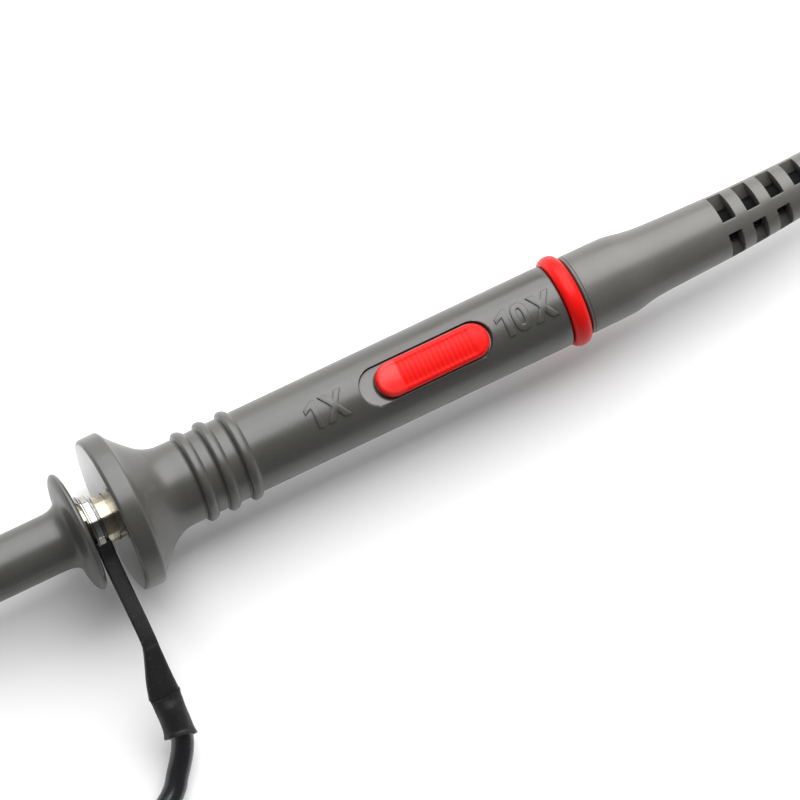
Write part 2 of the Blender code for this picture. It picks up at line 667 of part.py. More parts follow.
def build_gator_hinge():
    piece("gator_pin", gator_pin(radius=0.46, half_length=2.6), "gator_steel",
          "ground_lead")
    length = 1.24
    path = [Vector((GATOR_PIN_X + dx, GATOR_Y - length / 2 + along, GATOR_PIN_Z + dz))
            for along, dz, dx in helix(length, radius=1.02, turns=2.5)]
    piece("gator_spring", wire(path, 0.18, SPRING_SEG), "gator_spring_steel",
          "ground_lead")


def build_gator_upper_jaw():
    # (x, z)
    outline = [(-105.25, -8.6), (-105.25, -7.6), (-95.0, -4.6), (-90.0, -3.6),
               (-79.0, -0.6), (-78.6, -1.6), (-88.5, -6.9), (-95.0, -7.3)]
    jaw = piece("gator_upper_jaw", prism_y(outline, around(GATOR_Y, 1.7)),
                "gator_steel", "gator_jaw")
    boolean(jaw, "upper_pin_hole", gator_pin_cutter(), "gator_jaw")
    boolean(jaw, "spring_notch",
            block(around(GATOR_PIN_X, 1.7), around(GATOR_Y, 0.9), (-9.0, -2.0)),
            "gator_jaw")


# ---- assembly --------------------------------------------------------------
joint("probe", (0, 0, 0), None)
joint("switch", ((KNOB_X0 + KNOB_X1) / 2, 0, KNOB_TOP), "probe")
joint("hook_tip", (-20, 0, 0), "probe")
joint("hook_sleeve", (-25, 0, 0), "hook_tip")
joint("ground_lead", (-1.9, 0, 0), "hook_sleeve")
joint("gator_jaw", (GATOR_PIN_X, GATOR_Y, GATOR_PIN_Z), "ground_lead")
joint("trimmer", (TRIMMER_X, BNC_Y, BOX_TOP - TRIMMER_DEPTH), "probe")
joint("bnc_nut", (BOX_X0 - 10, BNC_Y, BNC_Z), "probe")

build_body_shell()
build_nose()
build_body_circuit()
build_id_ring()
build_probe_boot()
build_cable()
build_box_case()
build_box_circuit()
build_box_cable_entry()
build_bnc_plug()
build_switch()
build_hook_core()
build_hook()
build_hook_spring()
build_hook_sleeve()
build_ground_clip()
build_ground_strap()
build_ground_wire()
build_gator_boot()
build_gator_lower_jaw()
build_gator_hinge()
build_gator_upper_jaw()
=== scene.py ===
import json
from math import cos, hypot, pi, radians, sin, sqrt, tan

import bpy
import bmesh
from mathutils import Matrix, Vector


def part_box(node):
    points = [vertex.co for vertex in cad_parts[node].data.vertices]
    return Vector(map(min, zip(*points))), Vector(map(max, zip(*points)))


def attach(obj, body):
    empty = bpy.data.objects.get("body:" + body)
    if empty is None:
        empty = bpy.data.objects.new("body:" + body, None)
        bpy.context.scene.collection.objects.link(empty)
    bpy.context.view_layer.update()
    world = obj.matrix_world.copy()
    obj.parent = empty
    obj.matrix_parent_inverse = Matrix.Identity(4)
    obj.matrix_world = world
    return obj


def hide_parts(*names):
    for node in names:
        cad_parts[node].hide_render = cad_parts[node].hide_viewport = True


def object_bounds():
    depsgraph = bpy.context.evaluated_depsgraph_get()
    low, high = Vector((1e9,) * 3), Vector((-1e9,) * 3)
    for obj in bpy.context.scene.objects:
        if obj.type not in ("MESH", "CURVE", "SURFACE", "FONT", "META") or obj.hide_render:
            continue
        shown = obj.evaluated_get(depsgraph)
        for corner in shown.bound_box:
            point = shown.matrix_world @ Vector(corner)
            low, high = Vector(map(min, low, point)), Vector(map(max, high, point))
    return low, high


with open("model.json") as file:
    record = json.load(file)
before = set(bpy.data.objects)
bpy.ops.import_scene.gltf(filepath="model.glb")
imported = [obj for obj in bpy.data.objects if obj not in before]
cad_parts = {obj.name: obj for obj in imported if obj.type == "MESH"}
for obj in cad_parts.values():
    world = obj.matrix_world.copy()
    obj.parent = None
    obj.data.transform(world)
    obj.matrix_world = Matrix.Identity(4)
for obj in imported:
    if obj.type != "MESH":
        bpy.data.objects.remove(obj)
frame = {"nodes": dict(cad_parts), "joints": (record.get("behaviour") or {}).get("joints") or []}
cad_low, cad_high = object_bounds()
cad_box = [[float(v) for v in cad_low], [float(v) for v in cad_high]]

# Lengths are millimetres from ZERO, the centre of the finger guard's front face.
MM = 0.001
_low, _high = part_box("body_shell")
ZERO = Vector((_low.x, (_low.y + _high.y) / 2, (_low.z + _high.z) / 2))


def mm_box(node):
    low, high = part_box(node)
    return (low - ZERO) / MM, (high - ZERO) / MM


# ===========================================================================
# materials
# ===========================================================================
class Shader:
    """One material's node tree, with helpers that add nodes and link them."""

    def __init__(self, name):
        self.material = bpy.data.materials.new(name)
        self.material.use_nodes = True
        self.nodes = self.material.node_tree.nodes
        self.coords = self.nodes.new("ShaderNodeTexCoord").outputs["Object"]

    def link(self, output, socket):
        self.material.node_tree.links.new(output, socket)

    def noise(self, size, detail=3.0, roughness=0.55, stretch=None):
        """Noise with features of about size mm; stretch scales its coordinates."""
        node = self.nodes.new("ShaderNodeTexNoise")
        node.inputs["Scale"].default_value = 1000.0 / size
        node.inputs["Detail"].default_value = detail
        node.inputs["Roughness"].default_value = roughness
        coords = self.coords
        if stretch:
            mapping = self.nodes.new("ShaderNodeMapping")
            mapping.inputs["Scale"].default_value = stretch
            self.link(coords, mapping.inputs["Vector"])
            coords = mapping.outputs["Vector"]
        self.link(coords, node.inputs["Vector"])
        return node.outputs["Fac"]

    def remap(self, value, to_min, to_max, from_min=0.3, from_max=0.7):
        node = self.nodes.new("ShaderNodeMapRange")
        node.inputs["From Min"].default_value = from_min
        node.inputs["From Max"].default_value = from_max
        node.inputs["To Min"].default_value = to_min
        node.inputs["To Max"].default_value = to_max
        self.link(value, node.inputs["Value"])
        return node.outputs["Result"]

    def mix(self, factor, first, second):
        """Blend two colours, each an RGB tuple or a socket."""
        node = self.nodes.new("ShaderNodeMix")
        node.data_type = 'RGBA'
        # a Mix node's colour sockets are inputs 6 and 7 and output 2
        for socket, value in ((node.inputs[6], first), (node.inputs[7], second)):
            if isinstance(value, tuple):
                socket.default_value = (*value, 1.0)
            else:
                self.link(value, socket)
        self.link(factor, node.inputs[0])
        return node.outputs[2]


def surface(name, colour, rough=0.45, metal=0.0, tint=0.05, tint_size=6.0, grain=0.0,
            grain_size=0.25, rough_var=0.06, wear=0.0, worn=None, spec=0.5, brushed=None,
            dust=0.0):
    """Principled material; sizes are mm.

    tint: share by which the colour drifts. grain: bump strength. rough_var: swing in
    roughness. wear: how far edges turn to the worn colour. brushed: (bump strength, stretch).
    dust: how much pale speckle lies on top.
    """
    shader = Shader(name)
    principled = shader.nodes["Principled BSDF"].inputs
    principled["Metallic"].default_value = metal
    principled["Specular IOR Level"].default_value = spec
    principled["Coat Roughness"].default_value = 0.2

    darker = tuple(max(c * (1 - tint), 0.0) for c in colour)
    lighter = tuple(min(c * (1 + tint), 1.0) for c in colour)
    shade = shader.mix(shader.remap(shader.noise(tint_size), 0.0, 1.0), darker, lighter)
    if wear:
        geometry = shader.nodes.new("ShaderNodeNewGeometry")
        edge = shader.remap(geometry.outputs["Pointiness"], to_min=0.0, to_max=wear,
                            from_min=0.52, from_max=0.60)
        speck = shader.remap(shader.noise(size=0.8), to_min=0.25, to_max=1.0,
                             from_min=0.35, from_max=0.65)
        product = shader.nodes.new("ShaderNodeMath")
        product.operation = 'MULTIPLY'
        shader.link(edge, product.inputs[0])
        shader.link(speck, product.inputs[1])
        worn = worn or tuple(min(c * 1.6 + 0.02, 1.0) for c in colour)
        shade = shader.mix(product.outputs[0], shade, worn)
    if dust:
        specks = shader.noise(size=0.35, detail=2.0, roughness=0.7)
        cover = shader.remap(specks, to_min=0.0, to_max=dust, from_min=0.58, from_max=0.74)
        shade = shader.mix(cover, shade, (0.5, 0.5, 0.48))
    shader.link(shade, principled["Base Color"])
    shader.link(shader.remap(shader.noise(tint_size * 0.6, detail=4.0),
                             max(rough - rough_var, 0.03), min(rough + rough_var, 1.0)),
                principled["Roughness"])
    if grain or brushed:
        bump = shader.nodes.new("ShaderNodeBump")
        bump.inputs["Strength"].default_value = grain if grain else brushed[0]
        bump.inputs["Distance"].default_value = 0.00004
        if grain:
            height = shader.noise(grain_size, detail=2.0, roughness=0.6)
        else:
            height = shader.noise(size=0.3, detail=2.0, roughness=0.5, stretch=brushed[1])
        shader.link(height, bump.inputs["Height"])
        shader.link(bump.outputs["Normal"], principled["Normal"])
    return shader.material


GREY_COLOUR = (0.054, 0.0530, 0.0487)
GREY = surface("grey_moulded_plastic", GREY_COLOUR, rough=0.33, tint=0.04, tint_size=9.0,
               grain=0.14, grain_size=0.16, rough_var=0.05, wear=0.25, spec=0.55, dust=0.03)
GREY_FACE = surface("grey_plastic_polished_face", GREY_COLOUR, rough=0.13, tint=0.03,
                    grain=0.04, grain_size=0.5, rough_var=0.03, spec=0.6)
# a darker copy of the grey plastic for inner surfaces: painted shade
GREY_PAINTED_SHADE = surface("grey_plastic_painted_shade_inner", tuple(c * 0.8 for c in GREY_COLOUR), rough=0.55,
                     tint=0.04, grain=0.12, grain_size=0.3)
BOOT_RUBBER = surface("grey_boot_rubber", (0.090, 0.0880, 0.0806), rough=0.37, tint=0.035,
                      tint_size=7.0, grain=0.16, grain_size=0.2, wear=0.2, dust=0.04)
# the smooth front pad: a glossier finish, and a lighter red that is painted sheen
RED_PAD_PAINTED_SHEEN = surface("red_plastic_smooth_pad_painted_sheen", (0.66, 0.022, 0.019), rough=0.27, tint=0.03,
                  tint_size=3.0, grain=0.06, grain_size=0.3, rough_var=0.04, spec=0.27)
RED = surface("red_moulded_plastic", (0.64, 0.0070, 0.0055), rough=0.33, tint=0.03,
              tint_size=5.0, grain=0.10, grain_size=0.2, rough_var=0.05, wear=0.10,
              worn=(0.8, 0.05, 0.04), spec=0.13)
CABLE = surface("black_cable_jacket", (0.016, 0.016, 0.017), rough=0.42, tint=0.1,
                tint_size=12.0, grain=0.15, grain_size=0.5, rough_var=0.08, spec=0.38,
                dust=0.05)
SHRINK = surface("black_heatshrink", (0.012, 0.012, 0.0125), tint=0.08, rough=0.5,
                 tint_size=3.0, grain=0.3, grain_size=0.5, rough_var=0.08, spec=0.32, dust=0.05)
# a darker, matt copy of the cable jacket: painted shade inside the boot
CABLE_PAINTED_SHADE_IN_BOOT = surface("cable_jacket_painted_shade_in_the_boot", (0.007, 0.007, 0.007), rough=0.75,
                        tint=0.1, tint_size=4.0, grain=0.2, grain_size=0.5, rough_var=0.05,
                        spec=0.08)
BLACK = surface("black_moulded_plastic", (0.02, 0.02, 0.021), rough=0.4, tint=0.08, grain=0.1,
                grain_size=0.2)
NICKEL = surface("bright_nickel_plate", (0.80, 0.78, 0.73), rough=0.13, metal=1.0,
                 tint_size=2.0, brushed=(0.12, (1.0, 0.15, 1.0)), rough_var=0.05)
# the nickel plate darkened for the clip ring: painted shade for its dim lower half
CLIP_NICKEL_PAINTED_SHADE = surface("clip_nickel_plate_painted_shade", (0.42, 0.41, 0.385), rough=0.12, metal=1.0,
                      tint=0.06, tint_size=1.8)
WIRE = surface("ground_wire_jacket", (0.0105, 0.0108, 0.0124), rough=0.25, tint=0.10,
               tint_size=3.0, rough_var=0.05, spec=0.62)
WARM_NICKEL = surface("warm_nickel_plate", (0.37, 0.335, 0.255), rough=0.16, metal=1.0,
                      tint=0.22, tint_size=1.6, brushed=(0.2, (1.0, 0.1, 0.1)), rough_var=0.08)
GOLD = surface("gold_plate", (0.85, 0.62, 0.27), rough=0.2, metal=1.0, tint_size=1.5,
               brushed=(0.1, (1.0, 0.15, 0.15)))
BRASS = surface("turned_brass", (0.74, 0.56, 0.27), rough=0.3, metal=1.0, tint=0.08,
                tint_size=2.0, brushed=(0.15, (1.0, 0.15, 0.15)))
COPPER = surface("bare_copper", (0.75, 0.36, 0.20), rough=0.28, metal=1.0, tint=0.1,
                 tint_size=1.0)
STEEL = surface("spring_steel", (0.56, 0.55, 0.52), rough=0.25, metal=1.0, tint=0.06,
                tint_size=1.0, brushed=(0.1, (0.2, 1.0, 1.0)))
SHEET = surface("plated_sheet_steel", (0.66, 0.64, 0.60), rough=0.27, metal=1.0, tint=0.06,
                tint_size=3.0, brushed=(0.25, (0.12, 1.0, 1.0)), rough_var=0.08, wear=0.3,
                worn=(0.85, 0.84, 0.8))
BOARD = surface("solder_mask_board", (0.02, 0.13, 0.06), rough=0.35, tint=0.1, tint_size=0.8,
                grain=0.25, grain_size=0.4)
RESISTOR = surface("resistor_lacquer", (0.32, 0.46, 0.58), rough=0.3, tint=0.08,
                   tint_size=1.0, grain=0.1)
CAPACITOR = surface("capacitor_coat", (0.60, 0.33, 0.08), rough=0.32, tint=0.1, tint_size=1.0,
                    grain=0.15)
CREAM = surface("cream_moulded_plastic", (0.80, 0.74, 0.58), rough=0.5, grain=0.1)
WHITE = surface("white_contact_insulator", (0.82, 0.82, 0.79), rough=0.42, tint=0.03,
                grain=0.08)
GASKET = surface("gasket_silicone", (0.42, 0.07, 0.04), rough=0.6, tint=0.08, grain=0.2)


# ===========================================================================
# mesh helpers (millimetres in, metres out)
# ===========================================================================
def shade_smooth(mesh, sharp):
    mesh.shade_smooth()
    mesh.set_sharp_from_angle(angle=radians(sharp))


def place(bm, name, materials, body, replaced=None, sharp=35.0):
    """Make an object of a mesh; body and replaced are the frame's names."""
    bmesh.ops.remove_doubles(bm, verts=bm.verts, dist=1e-4)
    bmesh.ops.recalc_face_normals(bm, faces=bm.faces)
    for v in bm.verts:
        v.co = v.co * MM + ZERO
    mesh = bpy.data.meshes.new(name)
    bm.to_mesh(mesh)
    bm.free()
    shade_smooth(mesh, sharp)
    materials = materials if isinstance(materials, list) else [materials]
    for material in materials:
        mesh.materials.append(material)
    ob = bpy.data.objects.new(name, mesh)
    bpy.context.scene.collection.objects.link(ob)
    if body:
        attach(ob, body)
        if replaced:
            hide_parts(replaced)
    return ob


def skin(rings, wrap=False, caps=False):
    """Faces between closed rings of points; a ring of one point is a tip."""
    bm = bmesh.new()
    rows = [[bm.verts.new(p) for p in ring] for ring in rings]
    pairs = list(zip(rows, rows[1:]))
    if wrap:
        pairs.append((rows[-1], rows[0]))
    for a, b in pairs:
        n = max(len(a), len(b))
        for i in range(n):
            j = (i + 1) % n
            if len(a) == 1:
                bm.faces.new((a[0], b[i], b[j]))
            elif len(b) == 1:
                bm.faces.new((a[i], b[0], a[j]))
            else:
                bm.faces.new((a[i], b[i], b[j], a[j]))
    if caps:
        bm.faces.new(rows[0])
        bm.faces.new(rows[-1])
    return bm


def revolve(outline, n, wrap, point):
    """Turn (along, radius) pairs; point(along, u, v) puts each one in space."""
    rings = []
    for along, r in outline:
        if r < 1e-6:
            rings.append([point(along, 0.0, 0.0)])
        else:
            rings.append([point(along, r * cos(2 * pi * i / n), r * sin(2 * pi * i / n))
                          for i in range(n)])
    return skin(rings, wrap=wrap)


def lathe(outline, n=96, y=0.0, z=0.0, wrap=True):
    return revolve(outline, n, wrap, lambda x, u, v: Vector((x, y + u, z + v)))


def lathe_z(outline, n, x, y, wrap=False):
    return revolve(outline, n, wrap, lambda z, u, v: Vector((x + u, y + v, z)))


def cylinder(x0, x1, r, n=48, y=0.0, z=0.0):
    return lathe([(x0, 0.0), (x0, r), (x1, r), (x1, 0.0)], n, y, z, wrap=False)


def soften(outline, r=0.2, steps=4, closed=True):
    """Round every corner of an (x, r) outline with an arc of about radius r."""
    out = []
    n = len(outline)
    for i, (x, y) in enumerate(outline):
        if not closed and i in (0, n - 1) or y < 1e-6:
            out.append((x, y))
            continue
        corner = Vector((x, y))
        back = Vector(outline[(i - 1) % n]) - corner
        ahead = Vector(outline[(i + 1) % n]) - corner
        if back.length < 1e-6 or ahead.length < 1e-6:
            continue
        angle = back.angle(ahead)
        if angle > radians(168):
            out.append((x, y))
            continue
        cut_back = min(r / max(tan(angle / 2), 0.05), back.length * 0.45, ahead.length * 0.45)
        start = corner + back.normalized() * cut_back
        end = corner + ahead.normalized() * cut_back
        for k in range(steps + 1):
            s = k / steps
            q = start * (1 - s) ** 2 + corner * 2 * s * (1 - s) + end * s * s
            out.append((q.x, q.y))
    return out


def frames(path):
    """(tangent, side, up) at each point, carried along the path without twist."""
    out = []
    up = None
    for i in range(len(path)):
        tangent = (path[min(i + 1, len(path) - 1)] - path[max(i - 1, 0)]).normalized()
        if up is None:
            up = Vector((0, 0, 1)) if abs(tangent.z) < 0.9 else Vector((0, 1, 0))
        up = (up - tangent * up.dot(tangent)).normalized()
        out.append((tangent, tangent.cross(up), up))
    return out


def wire(path, r, n=24):
    """Round bar along a path, with softly rounded ends."""
    axes = frames(path)
    edge = r * 0.25

    def circle(p, axis, radius):
        return [p + axis[1] * (radius * cos(2 * pi * i / n))
                + axis[2] * (radius * sin(2 * pi * i / n)) for i in range(n)]

    def end_rings(p, axis, inward):
        return [circle(p, axis, r - edge), circle(p + inward * edge * 0.35, axis, r - edge * 0.3),
                circle(p + inward * edge, axis, r)]

    middle = [circle(p, axis, r) for p, axis in zip(path[1:-1], axes[1:-1])]
    return skin(end_rings(path[0], axes[0], axes[0][0]) + middle
                + end_rings(path[-1], axes[-1], -axes[-1][0])[::-1], caps=True)


def smooth_line(points, per_span):
    """Catmull-Rom curve through the points."""
    points = [Vector(p) for p in points]
    ext = [points[0] * 2 - points[1]] + points + [points[-1] * 2 - points[-2]]
    out = []
    for k in range(1, len(ext) - 2):
        p0, p1, p2, p3 = ext[k - 1:k + 3]
        for i in range(per_span):
            t = i / per_span
            out.append(0.5 * ((2 * p1) + (p2 - p0) * t + (2 * p0 - 5 * p1 + 4 * p2 - p3) * t * t
                              + (3 * p1 - 3 * p2 + p3 - p0) * t ** 3))
    out.append(points[-1])
    return out


def smooth_outline(points, per_span):
    return [(p.x, p.y) for p in smooth_line([(x, r, 0) for x, r in points], per_span)]


def coil(axis, centre, length, radius, turns, per_turn):
    """Helix that starts at centre and runs along 'X' or 'Y'."""
    out = []
    steps = int(turns * per_turn)
    for i in range(steps + 1):
        a = 2 * pi * i / per_turn
        d = length * i / steps
        u, v = radius * cos(a), radius * sin(a)
        out.append(Vector(centre) + Vector((d, u, v) if axis == 'X' else (v, d, u)))
    return out


def block(x0, x1, y0, y1, z0, z1, bevel=0.0, segments=3, vertical=False):
    """Box with rounded edges, or with only its vertical edges rounded."""
    bm = bmesh.new()
    bmesh.ops.create_cube(bm, size=1.0)
    bmesh.ops.scale(bm, vec=(x1 - x0, y1 - y0, z1 - z0), verts=bm.verts)
    bmesh.ops.translate(bm, vec=((x0 + x1) / 2, (y0 + y1) / 2, (z0 + z1) / 2), verts=bm.verts)
    if bevel:
        edges = [e for e in bm.edges
                 if not vertical or abs(e.verts[0].co.z - e.verts[1].co.z) > 1e-6]
        bmesh.ops.bevel(bm, geom=edges, offset=bevel, segments=segments, profile=0.5,
                        affect='EDGES')
    return bm


def smoothstep(t):
    t = min(max(t, 0.0), 1.0)
    return t * t * (3 - 2 * t)


def signed_power(value, exponent):
    return abs(value) ** exponent * (1 if value >= 0 else -1)


def apply_modifiers(ob):
    bpy.context.view_layer.update()
    depsgraph = bpy.context.evaluated_depsgraph_get()
    mesh = bpy.data.meshes.new_from_object(ob.evaluated_get(depsgraph))
    ob.modifiers.clear()
    ob.data = mesh


def combine(target, bm, operation):
    tool = place(bm, target.name + "_tool", GREY, None)
    modifier = target.modifiers.new("cut", 'BOOLEAN')
    modifier.operation, modifier.solver, modifier.object = operation, 'EXACT', tool
    apply_modifiers(target)
    bpy.data.objects.remove(tool, do_unlink=True)


def cut(target, *tools):
    for tool in tools:
        combine(target, tool, 'DIFFERENCE')


def round_edges(ob, width, segments, angle):
    modifier = ob.modifiers.new("edges", 'BEVEL')
    modifier.width, modifier.segments = width * MM, segments
    modifier.limit_method, modifier.angle_limit = 'ANGLE', radians(angle)
    modifier.use_clamp_overlap = True
    apply_modifiers(ob)
    shade_smooth(ob.data, 50)


def paint(ob, base, second, is_second):
    """Two materials; is_second(centre in mm, normal) picks the faces of the second."""
    ob.data.materials.clear()
    ob.data.materials.append(base)
    ob.data.materials.append(second)
    for face in ob.data.polygons:
        centre = (face.center - ZERO) / MM
        face.material_index = 1 if is_second(centre, face.normal) else 0


# ===========================================================================
# probe body
# ===========================================================================
body_high = mm_box("body_shell")[1]
GUARD_R, BODY_END = body_high.y, body_high.x
BARREL_X0 = 18.5
BARREL_R0, BARREL_R1 = 5.25, 5.27                # at the ribs and at the body's end
BORE_FRONT_R, BORE_R, BORE_STEP_X = 3.1, 4.15, 4.6

RIBS = (11.4, 14.35, 17.4)
RIB_SHIFT, RIB_HEIGHT = 0.22, 0.6
RIB_FRONT, RIB_BACK = 0.52, 1.0                  # from the crest to each foot

knob_low, knob_high = mm_box("switch_knob")
KNOB_X0, KNOB_X1, KNOB_HALF_W, KNOB_TOP = knob_low.x, knob_high.x, knob_high.y, knob_high.z
wiper_low, wiper_high = mm_box("switch_wiper")
WIPER_X = (wiper_low.x + wiper_high.x) / 2
# recess around the knob; its floor falls towards +Y
SLOT_X0, SLOT_X1, SLOT_HALF_W, SLOT_FLOOR = KNOB_X0 - 2.08, KNOB_X1 + 0.36, 2.5, 4.5
FLOOR_SLOPE = 0.14
STEM_SLOT_X = WIPER_X - 1.0


def barrel_r(x):
    return BARREL_R0 + (BARREL_R1 - BARREL_R0) * (x - BARREL_X0) / (BODY_END - BARREL_X0)


def rib_outline(centre):
    """A groove, a steep rise at the front and a gentle run-out behind."""
    c = centre - RIB_SHIFT
    # distance before the rib's foot, depth below the barrel
    groove = ((0.30, 0), (0.22, 0.02), (0.15, 0.08), (0.08, 0.09), (0.03, 0.05))
    out = [(c - RIB_FRONT - back, BARREL_R0 - depth) for back, depth in groove]
    for k in range(15):
        u = -cos(pi * k / 14)
        reach, power = (RIB_FRONT, 0.6) if u < 0 else (RIB_BACK, 0.8)
        out.append((c + reach * u * 0.985, BARREL_R0 + 0.045
                    + (RIB_HEIGHT - 0.045) * max(1 - abs(u) ** 2.2, 0) ** power))
    return out + [(c + RIB_BACK + 0.04, BARREL_R0 + 0.012), (c + RIB_BACK + 0.12, BARREL_R0)]


def body_outline():
    """(x, r) from the guard's front along the outside to the end, then the bore."""
    out = soften([(0.0, BORE_FRONT_R), (0.0, GUARD_R), (2.6, GUARD_R), (3.05, 9.2)], r=0.55,
                 steps=7, closed=False)
    out += smooth_outline([(3.05, 9.2), (3.42, 8.74), (3.97, 8.14), (4.9, 7.22), (5.85, 6.35),
                           (6.6, 5.85), (7.3, 5.53), (8.0, 5.34), (8.7, 5.27),
                           (9.4, BARREL_R0)], 5)[1:]
    for centre in RIBS:
        out += rib_outline(centre)
    out.append((19.2, barrel_r(19.2)))
    # closer stations where the recess ends, so that the surface around it stays smooth
    x = 19.5
    while x < BODY_END - 0.5:
        out.append((x, barrel_r(x)))
        near_end = (SLOT_X0 - 1.2 < x < SLOT_X0 + 2.6 or SLOT_X1 - 2.8 < x < SLOT_X1 + 1.2)
        x += 0.22 if near_end else 1.2
    end_r = barrel_r(BODY_END)
    return out + [(BODY_END - 0.16, end_r - 0.02), (BODY_END - 0.04, end_r - 0.08),
                  (BODY_END, end_r - 0.2), (BODY_END, BORE_R), (BORE_STEP_X, BORE_R),
                  (BORE_STEP_X, BORE_FRONT_R)]


def slot_ring(grow, height):
    """The recess's round-ended outline grown by some amount, at height(x, y)."""
    r = SLOT_HALF_W + grow
    arcs = []
    for centre_x, start in ((SLOT_X1 - SLOT_HALF_W, -pi / 2), (SLOT_X0 + SLOT_HALF_W, pi / 2)):
        for i in range(19):
            a = start + pi * i / 18
            arcs.append((centre_x + r * cos(a), r * sin(a)))
    # extra points along the straight sides, so that the rim follows the barrel
    ring = []
    for i, (x, y) in enumerate(arcs):
        ring.append((x, y))
        next_x, next_y = arcs[(i + 1) % len(arcs)]
        if abs(next_x - x) > 3:
            ring += [(x + (next_x - x) * k / 14, y + (next_y - y) * k / 14)
                     for k in range(1, 14)]
    return [Vector((x, y, height(x, y))) for x, y in ring]


def barrel_z(x, y, lift=0.0):
    r = barrel_r(x) + lift
    return sqrt(max(r * r - y * y, 0.01))


def recess_mesh():
    def floor_z(y, drop):
        return SLOT_FLOOR - drop - FLOOR_SLOPE * y

    rings = [slot_ring(-0.16, lambda x, y: floor_z(y, 0.2)),
             slot_ring(-0.05, lambda x, y: floor_z(y, 0.18)),
             slot_ring(0.0, lambda x, y: min(floor_z(y, 0.12), barrel_z(x, y) - 0.03))]
    # the rim's rounding: growth, lift from the barrel, least height over the floor
    for grow, lift, least in ((0.03, -0.10, 0.085), (0.07, -0.035, 0.1), (0.17, 0.003, 0.12)):
        rings.append(slot_ring(grow, lambda x, y: max(barrel_z(x, y, lift),
                                                      SLOT_FLOOR + least)))
    rings += [slot_ring(0.4, lambda x, y: barrel_z(x, y, 0.25)),
              slot_ring(0.4, lambda x, y: 8.0)]
    return skin(rings, caps=True)


def is_polished(centre, normal):
    """The guard's front face and the floor of the recess are polished."""
    front = normal.x < -0.985 and hypot(centre.y, centre.z) > 3.3 and centre.x < 0.05
    slot_floor = (normal.z > 0.97 and abs(centre.y) < 2.6 and SLOT_X0 < centre.x < SLOT_X1
                  and 3.85 < centre.z < SLOT_FLOOR + 0.2)
    return front or slot_floor


shell = place(lathe(body_outline(), 160), "body_shell_moulding", [GREY, GREY_PAINTED_SHADE], "probe",
              "body_shell", sharp=48)
cut(shell, recess_mesh(), block(STEM_SLOT_X - 2.3, STEM_SLOT_X + 2.3, -0.9, 0.9, 2.0, 6.5,
                                bevel=0.3, vertical=True))
shade_smooth(shell.data, 50)
paint(shell, GREY, GREY_FACE, is_polished)


# ---- raised attenuation marks at both ends of the switch ----
def glyph_outline(character, h, stroke):
    """Plain block characters as (outer loop, inner loop or None, width)."""
    if character == "1":
        w = stroke * 2.25
        left = w - stroke
        return [(left, 0), (w, 0), (w, h), (w - stroke * 0.62, h), (0, h * 0.775),
                (0, h * 0.585), (left, h * 0.715)], None, w
    if character == "X":
        w, foot = h * 0.90, stroke * 1.22
        crotch = h * (w / 2 - foot) / (w - foot)
        return [(0, 0), (foot, 0), (w / 2, crotch), (w - foot, 0), (w, 0),
                ((w + foot) / 2, h / 2), (w, h), (w - foot, h), (w / 2, h - crotch),
                (foot, h), (0, h), ((w - foot) / 2, h / 2)], None, w
    w = h * 0.62
    outer, inner = [], []
    for k in range(32):
        a = 2 * pi * k / 32
        u, v = signed_power(cos(a), 2 / 2.6), signed_power(sin(a), 2 / 2.6)
        outer.append((w / 2 + w / 2 * u, h / 2 + h / 2 * v))
        inner.append((w / 2 + (w / 2 - stroke) * u, h / 2 + (h / 2 - stroke * 0.95) * v))
    return outer, inner, w


def inset(bm, faces, thickness):
    """Inset a region and return the faces inside the new rim."""
    result = bmesh.ops.inset_region(bm, faces=faces, thickness=thickness, depth=0.0,
                                    use_boundary=True, use_even_offset=True)
    rim = set(result["faces"])
    return [f for f in faces if f.is_valid and f not in rim]


def flat_text(text, height, stroke, gap):
    glyphs = [glyph_outline(character, height, stroke) for character in text]
    bm = bmesh.new()
    x = -(sum(glyph[2] for glyph in glyphs) + gap * (len(glyphs) - 1)) / 2
    for outer, inner, width in glyphs:
        outer = [bm.verts.new((x + px, py - height / 2, 0)) for px, py in outer]
        if inner:
            inner = [bm.verts.new((x + px, py - height / 2, 0)) for px, py in inner]
            for k in range(len(outer)):
                q = (k + 1) % len(outer)
                bm.faces.new((outer[k], outer[q], inner[q], inner[k]))
        else:
            bm.faces.new(outer)
        x += width + gap
    return bm


